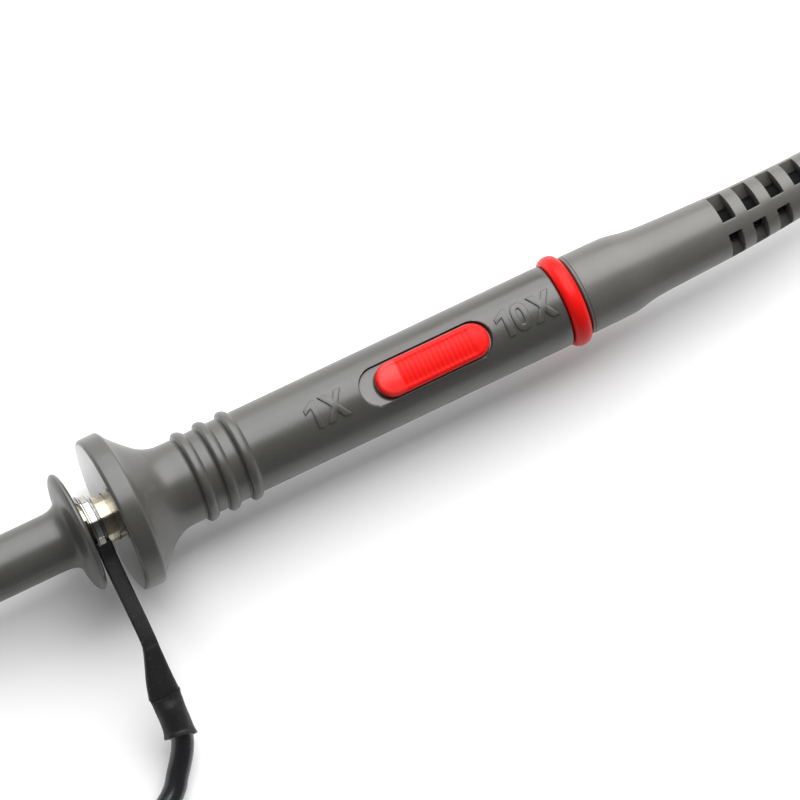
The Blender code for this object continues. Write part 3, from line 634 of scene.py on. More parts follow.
def raised_mark(name, text, x_mid, y_mid, height, stroke, gap):
    """Raised block characters wrapped onto the barrel, with soft sloping edges."""
    bm = flat_text(text, height, stroke, gap)
    # the edge slopes up from inside the barrel to a shoulder and then to the flat top
    top = inset(bm, bm.faces[:], 0.13)
    rim = {v for e in bm.edges if e.is_boundary for v in e.verts}
    for v in bm.verts:
        v.co.z = -0.05 if v in rim else 0.12
    for f in inset(bm, top, 0.10):
        for v in f.verts:
            v.co.z = 0.165
    # slice it finely so that it can bend round the barrel
    bmesh.ops.triangulate(bm, faces=bm.faces)
    step = 0.3
    slices = int(height / step) + 2
    for i in range(-slices, slices + 1):
        bmesh.ops.bisect_plane(bm, geom=bm.verts[:] + bm.edges[:] + bm.faces[:],
                               plane_co=(0, i * step, 0), plane_no=(0, 1, 0), dist=1e-5)
    # close underneath, inside the barrel's wall
    skirt = bmesh.ops.extrude_edge_only(bm, edges=[e for e in bm.edges if e.is_boundary])["geom"]
    for v in [g for g in skirt if isinstance(g, bmesh.types.BMVert)]:
        v.co.z = -0.3
    bmesh.ops.triangle_fill(bm, use_beauty=True,
                            edges=[g for g in skirt
                                   if isinstance(g, bmesh.types.BMEdge) and g.is_boundary])
    for v in bm.verts:
        x, across, lift = v.co.x + x_mid, v.co.y + y_mid, v.co.z
        r = barrel_r(x) + lift
        a = across / barrel_r(x)
        v.co = Vector((x, r * sin(a), r * cos(a)))
    return place(bm, name, GREY, "probe", sharp=75)


raised_mark("mark_1x", "1X", x_mid=28.62, y_mid=0.12, height=3.5, stroke=0.76, gap=0.52)
raised_mark("mark_10x", "10X", x_mid=55.85, y_mid=0.22, height=3.5, stroke=0.78, gap=0.36)

# ---------------------------------------------------------------------------
# slide knob: domed pill with fine cross ribs
# ---------------------------------------------------------------------------
KNOB_BASE, KNOB_WALL = SLOT_FLOOR + 0.15, 5.05   # heights of its underside and its edge
KNOB_CROWN, KNOB_DISH, KNOB_EDGE_R = 0.17, 0.13, 0.5
GRIP_X0, GRIP_X1, GRIP_PITCH = KNOB_X0 + 3.0, KNOB_X1 - 2.0, 0.62


def knob_end_distance(x):
    """How far x lies inside a rounded end, and 0 on the straight part."""
    return max(KNOB_X0 + KNOB_HALF_W - x, x - KNOB_X1 + KNOB_HALF_W, 0)


def knob_half_width(x):
    return sqrt(max(KNOB_HALF_W * KNOB_HALF_W - knob_end_distance(x) ** 2, 0))


def knob_top_z(x, y):
    inward = max(KNOB_HALF_W - hypot(knob_end_distance(x), y), 0.0)
    t = min(inward / KNOB_EDGE_R, 1.0)
    z = KNOB_WALL + (KNOB_TOP - KNOB_CROWN - KNOB_WALL) * sqrt(max(1 - (1 - t) ** 2, 0))
    z += KNOB_CROWN * smoothstep(inward / 2.0)
    grip = smoothstep((x - GRIP_X0) / 0.35) * smoothstep((GRIP_X1 - x) / 0.35)
    z -= KNOB_DISH * grip * smoothstep(inward / 0.9)
    wave = 0.5 + 0.5 * cos(2 * pi * (x - GRIP_X0) / GRIP_PITCH)
    z += 0.05 * (wave ** 0.8) * grip * smoothstep((inward - 0.2) / 0.5)
    # the smooth end pads sit a little lower and lean towards +Y
    pad = (1 - grip) * smoothstep(inward / 0.7)
    return z - 0.04 * pad - 0.035 * y * pad


def knob_mesh():
    end_steps, columns = 22, 44
    xs = [KNOB_X0 + KNOB_HALF_W * (1 - cos(pi / 2 * i / end_steps)) for i in range(end_steps)]
    x = KNOB_X0 + KNOB_HALF_W
    while x < KNOB_X1 - KNOB_HALF_W - 0.02:
        xs.append(x)
        x += 0.05
    xs += [KNOB_X1 - KNOB_HALF_W + KNOB_HALF_W * sin(pi / 2 * i / end_steps)
           for i in range(end_steps + 1)]
    bm = bmesh.new()
    tops, bottoms = [], []
    for x in xs:
        top, bottom = [], []
        for j in range(columns + 1):
            y = knob_half_width(x) * sin(pi / 2 * (2 * j / columns - 1))
            top.append(bm.verts.new((x, y, knob_top_z(x, y))))
            bottom.append(bm.verts.new((x, y * 0.985, KNOB_BASE)))
        tops.append(top)
        bottoms.append(bottom)
    for top, top2, low, low2 in zip(tops, tops[1:], bottoms, bottoms[1:]):
        for j in range(columns):
            bm.faces.new((top[j], top2[j], top2[j + 1], top[j + 1]))
            bm.faces.new((low[j], low[j + 1], low2[j + 1], low2[j]))
        bm.faces.new((top[0], low[0], low2[0], top2[0]))
        bm.faces.new((top[-1], top2[-1], low2[-1], low[-1]))
    bmesh.ops.remove_doubles(bm, verts=bm.verts, dist=2e-4)
    bmesh.ops.dissolve_degenerate(bm, edges=bm.edges, dist=1e-4)
    return bm


knob = place(knob_mesh(), "switch_knob_moulding", RED, "switch", "switch_knob", sharp=50)
# stem down to the wiper
combine(knob, block(WIPER_X - 1.0, WIPER_X + 1.0, -0.6, 0.6, 3.5, 5.0, bevel=0.1, segments=2),
        'UNION')
shade_smooth(knob.data, 55)
# the front pad's upward faces get the lighter red: painted sheen
paint(knob, RED, RED_PAD_PAINTED_SHEEN,
      lambda centre, normal: centre.x < KNOB_X0 + 3.08 and normal.z > 0.6)


# ---------------------------------------------------------------------------
# identification ring and bend-relief boot
# ---------------------------------------------------------------------------
def id_ring_outline():
    low, high = mm_box("id_ring")
    middle, half_w, bore, edge_r = (low.x + high.x) / 2, (high.x - low.x) / 2, 4.16, 5.05
    crown = [(middle - half_w * cos(a), edge_r + (high.y - edge_r) * sin(a) ** 0.85)
             for a in [radians(d) for d in range(8, 180, 8)]]
    return ([(low.x, bore), (low.x, edge_r)] + crown + [(high.x, edge_r), (high.x, bore)])


place(lathe(id_ring_outline(), 144), "identification_ring", RED, "probe", "id_ring", sharp=60)

TABLE_Z = mm_box("coax_cable")[0].z
CABLE_R = 1.8
BEND_START, BEND_R = 80.0, 210.0
BOOT_END = 105.0
BEND_ANGLE = (BOOT_END - BEND_START) / BEND_R


def axis_point(d):
    """The body's axis and its boot's gentle bend to +Y, d mm behind the guard's face."""
    if d <= BEND_START:
        return Vector((d, 0, 0))
    a = min((d - BEND_START) / BEND_R, BEND_ANGLE)
    p = Vector((BEND_START + BEND_R * sin(a), BEND_R * (1 - cos(a)), 0))
    extra = d - BOOT_END
    if extra > 0:                                # the cable sinks to the table
        p += Vector((cos(BEND_ANGLE), sin(BEND_ANGLE), 0)) * extra
        p.z = (TABLE_Z + CABLE_R) * smoothstep(extra / 56.0)
    return p


# rows of four windows between four spines
WINDOW0, WINDOW_W, WINDOW_PITCH, WINDOWS = 83.38, 1.85, 3.46, 6
SPINE = radians(24)
SPINE_TURN = radians(12.3)                       # puts one spine just beside the top line
BOOT_PLUG_BORE, BOOT_BORE, WINDOW_BORE = 3.2, 2.15, 1.86
# distance along the axis, outer radius
BOOT_OUTLINE = [(63.6, 5.15), (69.4, 5.09), (70.6, 4.92), (71.9, 4.66), (73.3, 4.48),
                (75.1, 4.36), (78.0, 4.25), (83.0, 4.07), (88.0, 3.88), (93.0, 3.67),
                (99.0, 3.4), (BOOT_END, 3.1)]


def boot_radius(d):
    """Cubic curve through BOOT_OUTLINE."""
    pts = BOOT_OUTLINE
    if d <= pts[0][0]:
        return pts[0][1]
    for i, ((a, ra), (b, rb)) in enumerate(zip(pts, pts[1:])):
        if d <= b:
            before = pts[max(i - 1, 0)]
            after = pts[min(i + 2, len(pts) - 1)]
            t = (d - a) / (b - a)
            slope_a = (rb - before[1]) / (b - before[0]) * (b - a)
            slope_b = (after[1] - ra) / (after[0] - a) * (b - a)
            return ((2 * t ** 3 - 3 * t * t + 1) * ra + (t ** 3 - 2 * t * t + t) * slope_a
                    + (-2 * t ** 3 + 3 * t * t) * rb + (t ** 3 - t * t) * slope_b)
    return pts[-1][1]


def boot_stations():
    """Stations (distance, outer radius, inner radius), and each window's first and last."""
    def at(d, inner):
        return d, boot_radius(d), inner

    # plug inside the body, then the boot's stepped front edge
    stations = [(d, r, BOOT_PLUG_BORE) for d, r in (
        (57.5, 3.85), (57.7, 4.0), (63.36, 4.0), (63.40, 4.92), (63.45, 5.04), (63.54, 5.11),
        (63.66, 5.12), (63.71, 5.03), (63.80, 5.03), (63.85, 5.13), (63.95, 5.15))]
    d = 64.6
    while d < 82.4:
        stations.append(at(d, BOOT_PLUG_BORE if d < 69.0 else BOOT_BORE))
        if abs(d - 68.8) < 0.31:                 # the bore narrows here
            stations.append(at(69.05, BOOT_BORE))
        d += 0.6
    stations += [at(82.75, BOOT_BORE), at(82.8, WINDOW_BORE)]
    windows = []
    for k in range(WINDOWS):
        start = WINDOW0 + k * WINDOW_PITCH
        stations += [at(start + q, WINDOW_BORE) for q in (-0.5, -0.12)]
        first = len(stations)
        stations += [at(start + q, WINDOW_BORE) for q in
                     (0.0, 0.12, 0.6, WINDOW_W - 0.6, WINDOW_W - 0.12, WINDOW_W)]
        windows.append((first, len(stations) - 1))
        stations += [at(start + WINDOW_W + q, WINDOW_BORE) for q in (0.12, 0.5)]
    d = stations[-1][0]
    stations += [at(d + 0.1, WINDOW_BORE + 0.02), at(d + 0.2, BOOT_BORE)]
    d = stations[-1][0] + 0.5
    while d < BOOT_END - 0.6:
        stations.append(at(d, BOOT_BORE))
        d += 0.6
    end_r = boot_radius(BOOT_END)
    stations += [at(BOOT_END - 0.45, 2.1), (BOOT_END - 0.2, end_r - 0.06, 2.1),
                 (BOOT_END - 0.05, end_r - 0.18, 2.1), (BOOT_END, end_r - 0.36, 2.12)]
    return stations, windows


def boot_mesh():
    stations, windows = boot_stations()
    # angles: spine edges fall exactly on grid lines
    spine_cells, gap_cells = 8, 22
    angles = []
    for q in range(4):
        centre = SPINE_TURN + pi / 2 * q
        angles += [centre - SPINE / 2 + SPINE * k / spine_cells
                   for k in range(spine_cells + 1)]
        angles += [centre + SPINE / 2 + (pi / 2 - SPINE) * k / gap_cells
                   for k in range(1, gap_cells)]
    n = len(angles)
    bm = bmesh.new()

    def ring(p, axis, r):
        """Angle 0 points up."""
        return [bm.verts.new(p + axis[1] * (r * sin(a)) + axis[2] * (r * cos(a)))
                for a in angles]

    outer, inner = [], []
    path = [axis_point(s[0]) for s in stations]
    for p, axis, (_, outer_r, inner_r) in zip(path, frames(path), stations):
        outer.append(ring(p, axis, outer_r))
        inner.append(ring(p, axis, inner_r))

    def void(i, j):
        on_spine = j % n % (spine_cells + gap_cells) < spine_cells
        return not on_spine and any(a <= i < b for a, b in windows)

    rows = len(stations)
    for i in range(rows - 1):
        for j in range(n):
            k = (j + 1) % n
            if void(i, j):
                continue
            bm.faces.new((outer[i][j], outer[i + 1][j], outer[i + 1][k], outer[i][k]))
            bm.faces.new((inner[i][j], inner[i][k], inner[i + 1][k], inner[i + 1][j]))
            # walls towards the windows on each side
            if void(i, j - 1):
                bm.faces.new((outer[i][j], inner[i][j], inner[i + 1][j], outer[i + 1][j]))
            if void(i, k):
                bm.faces.new((outer[i][k], outer[i + 1][k], inner[i + 1][k], inner[i][k]))
            if i > 0 and void(i - 1, j):
                bm.faces.new((outer[i][j], outer[i][k], inner[i][k], inner[i][j]))
            if i < rows - 2 and void(i + 1, j):
                bm.faces.new((outer[i + 1][j], inner[i + 1][j], inner[i + 1][k],
                              outer[i + 1][k]))
    for j in range(n):
        k = (j + 1) % n
        bm.faces.new((outer[0][j], outer[0][k], inner[0][k], inner[0][j]))
        bm.faces.new((outer[-1][j], inner[-1][j], inner[-1][k], outer[-1][k]))
    return bm


boot = place(boot_mesh(), "bend_relief_boot", BOOT_RUBBER, "probe", "probe_boot", sharp=50)
round_edges(boot, width=0.13, segments=3, angle=60)

# ===========================================================================
# hook tip
# ===========================================================================
SLEEVE_R = 3.68
HOOK_BEND_R = 0.46


def hook_sleeve_outline():
    """(x, r) over the flange's rounded rim, along the sleeve to its nose, and the bore."""
    low, high = mm_box("hook_sleeve")
    nose, back, flange_r = low.x, high.x, high.y
    out = [(back, 3.1)]
    out += [(back - dx, r) for dx, r in (
        (0, 6.95), (0.02, 7.15), (0.07, 7.33), (0.16, 7.47), (0.28, 7.57),
        (0.42, flange_r - 0.02), (0.56, flange_r))]
    flange_front = [(back - dx, r) for dx, r in (
        (0.56, flange_r), (0.74, 7.55), (0.92, 7.32), (1.08, 7.0), (1.22, 6.5), (1.34, 5.8),
        (1.44, 5.1), (1.56, 4.65), (1.78, 4.3), (2.1, 4.04), (2.55, 3.84), (3.2, 3.71),
        (4.2, SLEEVE_R))]
    taper = [(-12.0, SLEEVE_R), (-24.0, SLEEVE_R), (-38.0, SLEEVE_R), (-40.5, 3.52),
             (-44.4, 2.93), (-47.4, 1.9)]
    out += smooth_outline(flange_front + taper, 6)[1:]
    return out + [(-47.75, 1.72), (-47.93, 1.5), (nose, 1.25), (nose, 1.02),
                  (nose + 0.1, 0.95), (-44.2, 0.95), (-44.2, 2.3), (-38.6, 2.3), (-38.6, 3.1)]


def hook_path():
    """Straight wire, a half turn at its end and a short return."""
    r = HOOK_BEND_R
    path = [Vector((-34.2 - 14.0 * i / 20, -r, 0)) for i in range(21)]
    path += [Vector((-48.2 - r * sin(a), -r * cos(a), 0))
             for a in [pi * i / 16 for i in range(1, 17)]]
    return path + [Vector((x, r, 0)) for x in (-48.0, -47.4, -47.0)]


place(lathe(hook_sleeve_outline(), 144), "hook_sleeve_moulding", GREY, "hook_sleeve",
      "hook_sleeve", sharp=50)
place(lathe(soften([(-4.6, 2.35), (-4.6, 2.95), (-36.3, 2.95), (-36.3, 0.95), (-34.2, 0.95),
                    (-34.2, 1.68), (-23.0, 1.68), (-23.0, 2.35)], r=0.2, steps=3), 64),
      "hook_core_moulding", GREY, "hook_tip", "hook_core")
place(lathe(soften([(-34.0, 0.0), (-34.0, 1.5), (-23.2, 1.5), (-23.2, 0.78), (-32.5, 0.78),
                    (-32.5, 0.0)], r=0.15, steps=3, closed=False), 40, wrap=False),
      "hook_socket_turned", GOLD, "hook_tip", "hook_socket")
place(wire(hook_path(), 0.3, 16), "hook_wire_bent", STEEL, "hook_tip", "hook_wire")
place(wire(coil('X', (-42.6, 0, 0), length=6.0, radius=1.72, turns=6, per_turn=28), 0.2, 10),
      "hook_spring_coil", STEEL, "hook_tip", "hook_spring")

# ===========================================================================
# nose of the probe and ground lead
# ===========================================================================
place(lathe(soften([(-12.0, 1.7), (-12.0, 2.2), (-4.4, 2.2), (-4.4, 2.95), (8.0, 2.95),
                    (8.0, 1.7)], r=0.18), 96),
      "ground_barrel_turned", WARM_NICKEL, "probe", "ground_barrel")
place(lathe(soften([(-22.0, 0.75), (-22.0, 2.0), (-12.3, 2.0), (-12.3, 1.55), (7.4, 1.55),
                    (7.4, 0.75)], r=0.25), 64),
      "nose_insulator_moulding", BLACK, "probe", "nose_insulator")
place(lathe([(-30.0, 0.0), (-29.93, 0.08), (-28.4, 0.56), (-28.1, 0.6), (8.5, 0.6), (8.6, 0.5),
             (8.6, 0.0)], 32, wrap=False),
      "probe_needle_turned", GOLD, "probe", "probe_needle", sharp=60)


def clip_mesh():
    """Spring ring, open for 50 degrees underneath, with a thin plate at its -X end."""
    low, high = mm_box("ground_clip")
    front, back, bore = low.x - 0.85, high.x, 3.12
    outline = soften([(front, bore), (front, 3.95), (front + 0.22, 3.95), (front + 0.3, 3.78),
                      (front + 1.12, 3.78), (front + 1.16, 3.36), (back, 3.36),
                      (back, bore)], r=0.07, steps=3)
    n = 120
    rings = []
    for i in range(n + 1):
        a = radians(-90 + 25 + 310 * i / n)
        # the rim is a little uneven, as stamped sheet is
        k = 1 + 0.004 * sin(5 * a) + 0.003 * sin(11 * a + 1)
        rings.append([Vector((x, r * k * cos(a), r * k * sin(a))) for x, r in outline])
    return skin(rings, caps=True)


def band_normal(path, i):
    """Upward normal of a band whose path lies in the YZ plane."""
    along = (path[min(i + 1, len(path) - 1)] - path[max(i - 1, 0)]).normalized()
    normal = Vector((0, -along.z, along.y))
    return -normal if normal.z < 0 else normal


def band_ring(p, normal, middle_x, half_w, half_t, n, width_power, thick_power):
    """Rounded-rectangle section of a band, wide in X; smaller powers are squarer."""
    ring = []
    for k in range(n):
        a = 2 * pi * k / n
        u = half_w * signed_power(cos(a), width_power)
        v = half_t * signed_power(sin(a), thick_power)
        ring.append(Vector((middle_x + u, p.y, p.z)) + normal * v)
    return ring


def clip_tab_mesh():
    """Flat tab bent down from the clip's top, which grips the strap's end."""
    path = smooth_line([(0, -2.0, 3.15), (0, -2.4, 2.86), (0, -2.75, 2.55), (0, -3.1, 2.26),
                        (0, -3.5, 2.02), (0, -3.9, 1.82)], 4)
    return skin([band_ring(p, band_normal(path, i), middle_x=-2.5, half_w=0.5, half_t=0.13,
                           n=20, width_power=0.25, thick_power=0.5)
                 for i, p in enumerate(path)], caps=True)


def clip_painted_shade_strip_mesh():
    """Black strip round the -Y side of the barrel, painted shade, thin enough to pass under the
    sleeve.
    """
    outline = [(-3.9, 2.965), (-3.9, 3.04), (-3.86, 3.07), (-3.2, 3.07), (-3.15, 3.04),
               (-3.15, 2.965)]
    rings = []
    for i in range(61):
        a = radians(79 + 170 * i / 60)
        rings.append([Vector((x, r * cos(a), r * sin(a))) for x, r in outline])
    return skin(rings, caps=True)


# centre y, centre z, the two edges in x, half the thickness
STRAP = [
    (-2.82, 2.45, -3.4, -1.42, 0.34), (-3.6, 1.95, -3.45, -1.42, 0.4),
    (-4.8, 1.5, -3.45, -1.45, 0.4), (-7.4, 1.3, -3.45, -1.47, 0.4),
    (-10.0, 1.15, -3.45, -1.47, 0.4), (-13.2, 0.8, -3.42, -1.46, 0.41),
    (-15.6, 0.32, -3.42, -1.45, 0.45), (-16.5, -0.02, -3.56, -1.47, 0.47),
    (-17.8, -0.72, -3.95, -1.42, 0.52), (-20.0, -2.1, -4.66, -1.3, 0.66),
    (-22.0, -3.43, -5.1, -1.12, 0.86),
]


def swell(y, centre, width):
    return 2.718 ** (-((y - centre) / width) ** 2)


def strap_mesh():
    """Flat band that grows thicker and rounder towards the shrunk sleeve."""
    path = smooth_line([(0, c[0], c[1]) for c in STRAP], 6)
    widths = smooth_line([c[2:] for c in STRAP], 6)
    rings = []
    for i, (p, (x0, x1, half_t)) in enumerate(zip(path, widths)):
        rounding = smoothstep((-p.y - 16.4) / 5.0)
        end = min(i / 3.0, 1.0)
        # a soft fold where the flat band ends and the shrunk part begins
        fold = 0.09 * swell(p.y, -16.5, 0.35) - 0.05 * swell(p.y, -16.0, 0.3)
        rings.append(band_ring(
            p, band_normal(path, i), middle_x=(x1 + x0) / 2,
            half_w=(x1 - x0) / 2 * (0.97 + 0.03 * end),
            half_t=half_t * (0.75 + 0.25 * end) + fold, n=36,
            width_power=0.30 + 0.42 * rounding, thick_power=0.55 + 0.2 * rounding))
    return skin(rings, caps=True)


def shrink_mesh():
    """Heatshrink sleeve, flatter towards the band and cut at a slant at the far end."""
    n = 48
    bore = 1.56
    path = smooth_line([(-3.05, -22.05, -3.5), (-3.02, -25.0, -5.18), (-3.08, -27.45, -6.42)],
                       15)
    outer, inner = [], []
    for i, (p, (along, side, up)) in enumerate(zip(path, frames(path))):
        s = i / (len(path) - 1)
        r = (1.93 + 0.06 * smoothstep((0.10 - s) / 0.10) - 0.08 * sin(pi * s)
             + 0.13 * smoothstep((s - 0.8) / 0.2))
        outer_ring, inner_ring = [], []
        for j in range(n):
            a = 2 * pi * j / n
            radial = side * cos(a) + up * sin(a)
            flat = 1 - ((0.10 * (1 - s) + 0.36 * smoothstep((0.24 - s) / 0.24))
                        * (1 - radial.x * radial.x))
            fold = 0.035 * sin(3 * a + 2.2 * s) * (1 - 0.5 * s) + 0.02 * sin(7 * a + 9 * s)
            # the cut end reaches further towards the guard and underneath
            slant = 0.42 * radial.x - 1.1 * radial.z
            base = p + along * (smoothstep((s - 0.6) / 0.4) * slant)
            outer_ring.append(base + radial * ((r + fold) * flat))
            inner_ring.append(base + radial * (bore * flat))
        outer.append(outer_ring)
        inner.append(inner_ring)
    inner[0] = [p + (p - path[0]) * -0.02 for p in inner[0]]
    return skin(outer + inner[::-1], wrap=True)


HINGE = (Vector(next(joint for joint in frame["joints"]
                     if joint["name"] == "gator_hinge")["pos_m"]) - ZERO) / MM
LEAD_Z = -7.5                                    # where it enters the alligator clip
LEAD = smooth_line([(-3.05, -24.2, -4.75), (-3.1, -27.8, -6.6), (-5.2, -31.2, -8.0),
                    (-8.2, -34.2, -8.45), (-18.0, -39.0, -8.5), (-32.0, -40.5, -8.5),
                    (-46.0, -36.0, -8.5), (-57.0, -29.0, -8.1), (-64.0, -26.5, -7.6),
                    (-69.0, HINGE.y, LEAD_Z), (-73.0, HINGE.y, LEAD_Z),
                    (-77.4, HINGE.y, LEAD_Z)], 14)

# the clip ring wears the darkened nickel, painted shade
place(clip_mesh(), "ground_clip_ring", CLIP_NICKEL_PAINTED_SHADE, "ground_lead", "ground_clip", sharp=40)
place(clip_tab_mesh(), "ground_clip_tab", NICKEL, "ground_lead", sharp=50)
# black strip on the barrel's shaded -Y side: painted shade
place(clip_painted_shade_strip_mesh(), "ground_clip_painted_shade_strip", SHRINK, "ground_lead", sharp=50)
place(strap_mesh(), "ground_strap_band", SHRINK, "ground_lead", "ground_strap", sharp=60)
place(shrink_mesh(), "ground_shrink_sleeve", SHRINK, "ground_lead", "ground_shrink", sharp=60)
place(wire(LEAD, 1.4, 32), "ground_wire_insulated", WIRE, "ground_lead", "ground_wire")

# ===========================================================================
# coiled cable
# ===========================================================================
nut_low, nut_high = mm_box("bnc_coupling_nut")
# the axis of the plug and the compensation box
PLUG_Y, PLUG_Z = (nut_low.y + nut_high.y) / 2, (nut_low.z + nut_high.z) / 2
NUT_R = (nut_high.y - nut_low.y) / 2
COIL_R, COIL_PITCH, COIL_TURNS = 43.0, 4.1, 4
COIL_CENTRE = (axis_point(BOOT_END + 60.0)
               + Vector((-sin(BEND_ANGLE), cos(BEND_ANGLE), 0)) * COIL_R)
COIL_A0, COIL_A1 = BEND_ANGLE - pi / 2, pi / 2 + 2 * pi * COIL_TURNS
CROSS_Z = TABLE_Z + CABLE_R + 3.95               # the inner end crosses over the coil


def cable_path():
    pts = [axis_point(d) for d in (60, 70, 80, 85, 90, 95, 100, 105)]
    pts += [axis_point(BOOT_END + extra) for extra in (7, 14, 21, 28, 35, 42, 49, 55)]
    n = int(round((COIL_A1 - COIL_A0) / radians(12)))
    for i in range(n + 1):
        a = COIL_A0 + (COIL_A1 - COIL_A0) * i / n
        r = COIL_R - COIL_PITCH * (a - COIL_A0) / (2 * pi)
        lift = smoothstep((a - (COIL_A1 - radians(78))) / radians(74))
        pts.append(Vector((COIL_CENTRE.x + r * cos(a), COIL_CENTRE.y + r * sin(a),
                           (TABLE_Z + CABLE_R) * (1 - lift) + CROSS_Z * lift)))
    for x in (COIL_CENTRE.x - 8, 140, 135, 130, 125, 120, 118):
        pts.append(Vector((x, PLUG_Y,
                           CROSS_Z + (PLUG_Z - CROSS_Z) * smoothstep((140 - x) / 20))))
    pts.append(Vector((84, PLUG_Y, PLUG_Z)))
    return smooth_line(pts, 3)


jacket = place(wire(cable_path(), CABLE_R, 20), "coax_cable_jacket", CABLE, "probe",
               "coax_cable")
# the length inside the boot is darker and matt: painted shade where the boot's walls keep the
# light off
paint(jacket, CABLE, CABLE_PAINTED_SHADE_IN_BOOT,
      lambda c, normal: 60 < c.x < axis_point(BOOT_END - 1).x and c.y < 8 and c.z > -2)

# ===========================================================================
# compensation box: two moulded halves
# ===========================================================================
base_low, base_high = mm_box("comp_box_base")
cover_low, cover_high = mm_box("comp_box_cover")
BOX_X0, BOX_X1, BOX_HALF_W = base_low.x, base_high.x, (base_high.y - base_low.y) / 2
BASE_TOP, COVER_BOTTOM, BOX_TOP = base_high.z, cover_low.z, cover_high.z
TRIMMER_X = 74.0


def box_half(z0, z1):
    return block(BOX_X0, BOX_X1, PLUG_Y - BOX_HALF_W, PLUG_Y + BOX_HALF_W, z0, z1,
                 bevel=1.9, segments=6, vertical=True)


box_base = place(box_half(TABLE_Z, BASE_TOP), "comp_box_base_moulding", GREY, "probe",
                 "comp_box_base", sharp=50)
# the inside, the cable's opening and the plug's opening
cut(box_base,
    block(BOX_X0 + 1.3, BOX_X1 - 1.3, PLUG_Y - 6.3, PLUG_Y + 6.3, TABLE_Z + 1.2, 6.0),
    cylinder(90.0, 99.0, 3.5, 40, PLUG_Y, PLUG_Z),
    cylinder(62.0, 69.0, 4.45, 40, PLUG_Y, PLUG_Z))
for side in (-1, 1):                             # grip grooves along both sides
    for k in range(5):
        x = BOX_X0 + 9.0 + 3.0 * k
        wall_y = PLUG_Y + side * BOX_HALF_W
        cut(box_base, block(x - 0.45, x + 0.45, wall_y - 0.3, wall_y + 0.3, TABLE_Z + 3.0,
                            BASE_TOP - 2.5))
round_edges(box_base, width=0.25, segments=2, angle=60)

box_cover = place(box_half(COVER_BOTTOM, BOX_TOP), "comp_box_cover_moulding", GREY, "probe",
                  "comp_box_cover", sharp=50)
# the trimmer's hole, a groove around it and a shallow rounded field
cut(box_cover,
    lathe_z([(COVER_BOTTOM - 1, 0.0), (COVER_BOTTOM - 1, 1.6), (BOX_TOP + 1, 1.6),
             (BOX_TOP + 1, 0.0)], 40, TRIMMER_X, PLUG_Y),
    lathe_z([(BOX_TOP - 0.25, 2.4), (BOX_TOP - 0.25, 2.8), (BOX_TOP + 1, 2.8),
             (BOX_TOP + 1, 2.4)], 48, TRIMMER_X, PLUG_Y, wrap=True),
    block(80.0, 92.5, PLUG_Y - 4.6, PLUG_Y + 4.6, BOX_TOP - 0.2, BOX_TOP + 1, bevel=1.2,
          segments=4, vertical=True))
round_edges(box_cover, width=0.25, segments=2, angle=60)


def box_boot_outline():
    out = [(91.0, 2.95), (91.0, 3.25), (98.6, 3.25), (98.6, 4.25), (98.7, 4.42), (99.1, 4.58),
           (101.2, 4.56), (102.0, 4.42), (102.8, 4.1), (103.5, 3.8), (104.2, 3.6)]
    x = 104.8
    while x < 115.5:                             # ring grooves that let the boot bend
        r = 3.55 - 0.063 * (x - 104.8)
        out += [(x, r), (x + 0.15, r - 0.45), (x + 0.75, r - 0.5), (x + 0.9, r - 0.06),
                (x + 1.5, r - 0.09)]
        x += 1.65
    return out + [(116.5, 2.8), (116.85, 2.68), (117.0, 2.5), (117.0, 2.1), (99.5, 2.1),
                  (99.5, 2.95)]


def box_ring_outline():
    low, high = mm_box("id_ring_bnc")
    r, middle, half_w = (high.y - low.y) / 2, (low.x + high.x) / 2, (high.x - low.x) / 2
    crown = [(middle - half_w * cos(a), 4.5 + (r - 4.5) * sin(a) ** 0.85)
             for a in [pi * k / 20 for k in range(21)]]
    return [(low.x, 3.4)] + crown + [(high.x, 3.4)]


place(lathe(box_boot_outline(), 72, PLUG_Y, PLUG_Z), "box_boot_moulding", BOOT_RUBBER, "probe",
      "bnc_boot", sharp=50)
place(lathe(box_ring_outline(), 96, PLUG_Y, PLUG_Z), "box_ring", RED, "probe", "id_ring_bnc",
      sharp=60)

# ===========================================================================
# bayonet plug
# ===========================================================================
place(lathe(soften([(49.0, 3.55), (49.0, 4.05), (58.2, 4.05), (58.2, 5.3), (59.4, 5.3),
                    (59.4, 4.25), (70.2, 4.25), (70.2, 3.1), (58.6, 3.1), (57.2, 3.55)],
                   r=0.15, steps=3), 96, PLUG_Y, PLUG_Z),
      "plug_shell_turned", NICKEL, "probe", "bnc_body")
place(lathe(soften([(52.5, 0.95), (52.5, 2.45), (58.8, 2.45), (58.8, 2.95), (69.6, 2.95),
                    (69.6, 0.95)], r=0.18, steps=3), 64, PLUG_Y, PLUG_Z),
      "plug_insulator_turned", WHITE, "probe", "bnc_insulator")
place(lathe([(50.5, 0.0), (50.54, 0.14), (50.75, 0.36), (51.3, 0.62), (51.6, 0.7),
             (70.4, 0.7), (70.6, 0.6), (70.6, 0.0)], 32, PLUG_Y, PLUG_Z, wrap=False),
      "plug_pin_turned", GOLD, "probe", "bnc_pin", sharp=60)
place(lathe(soften([(57.2, 4.2), (57.2, 5.2), (58.05, 5.2), (58.05, 4.2)], r=0.2, steps=3),
            64, PLUG_Y, PLUG_Z), "plug_gasket", GASKET, "probe", "bnc_gasket")
place(lathe(soften([(59.6, 4.45), (59.6, 5.4), (60.3, 5.4), (60.3, 4.45)], r=0.12, steps=2),
            64, PLUG_Y, PLUG_Z), "plug_washer", STEEL, "probe", "bnc_spring_washer")


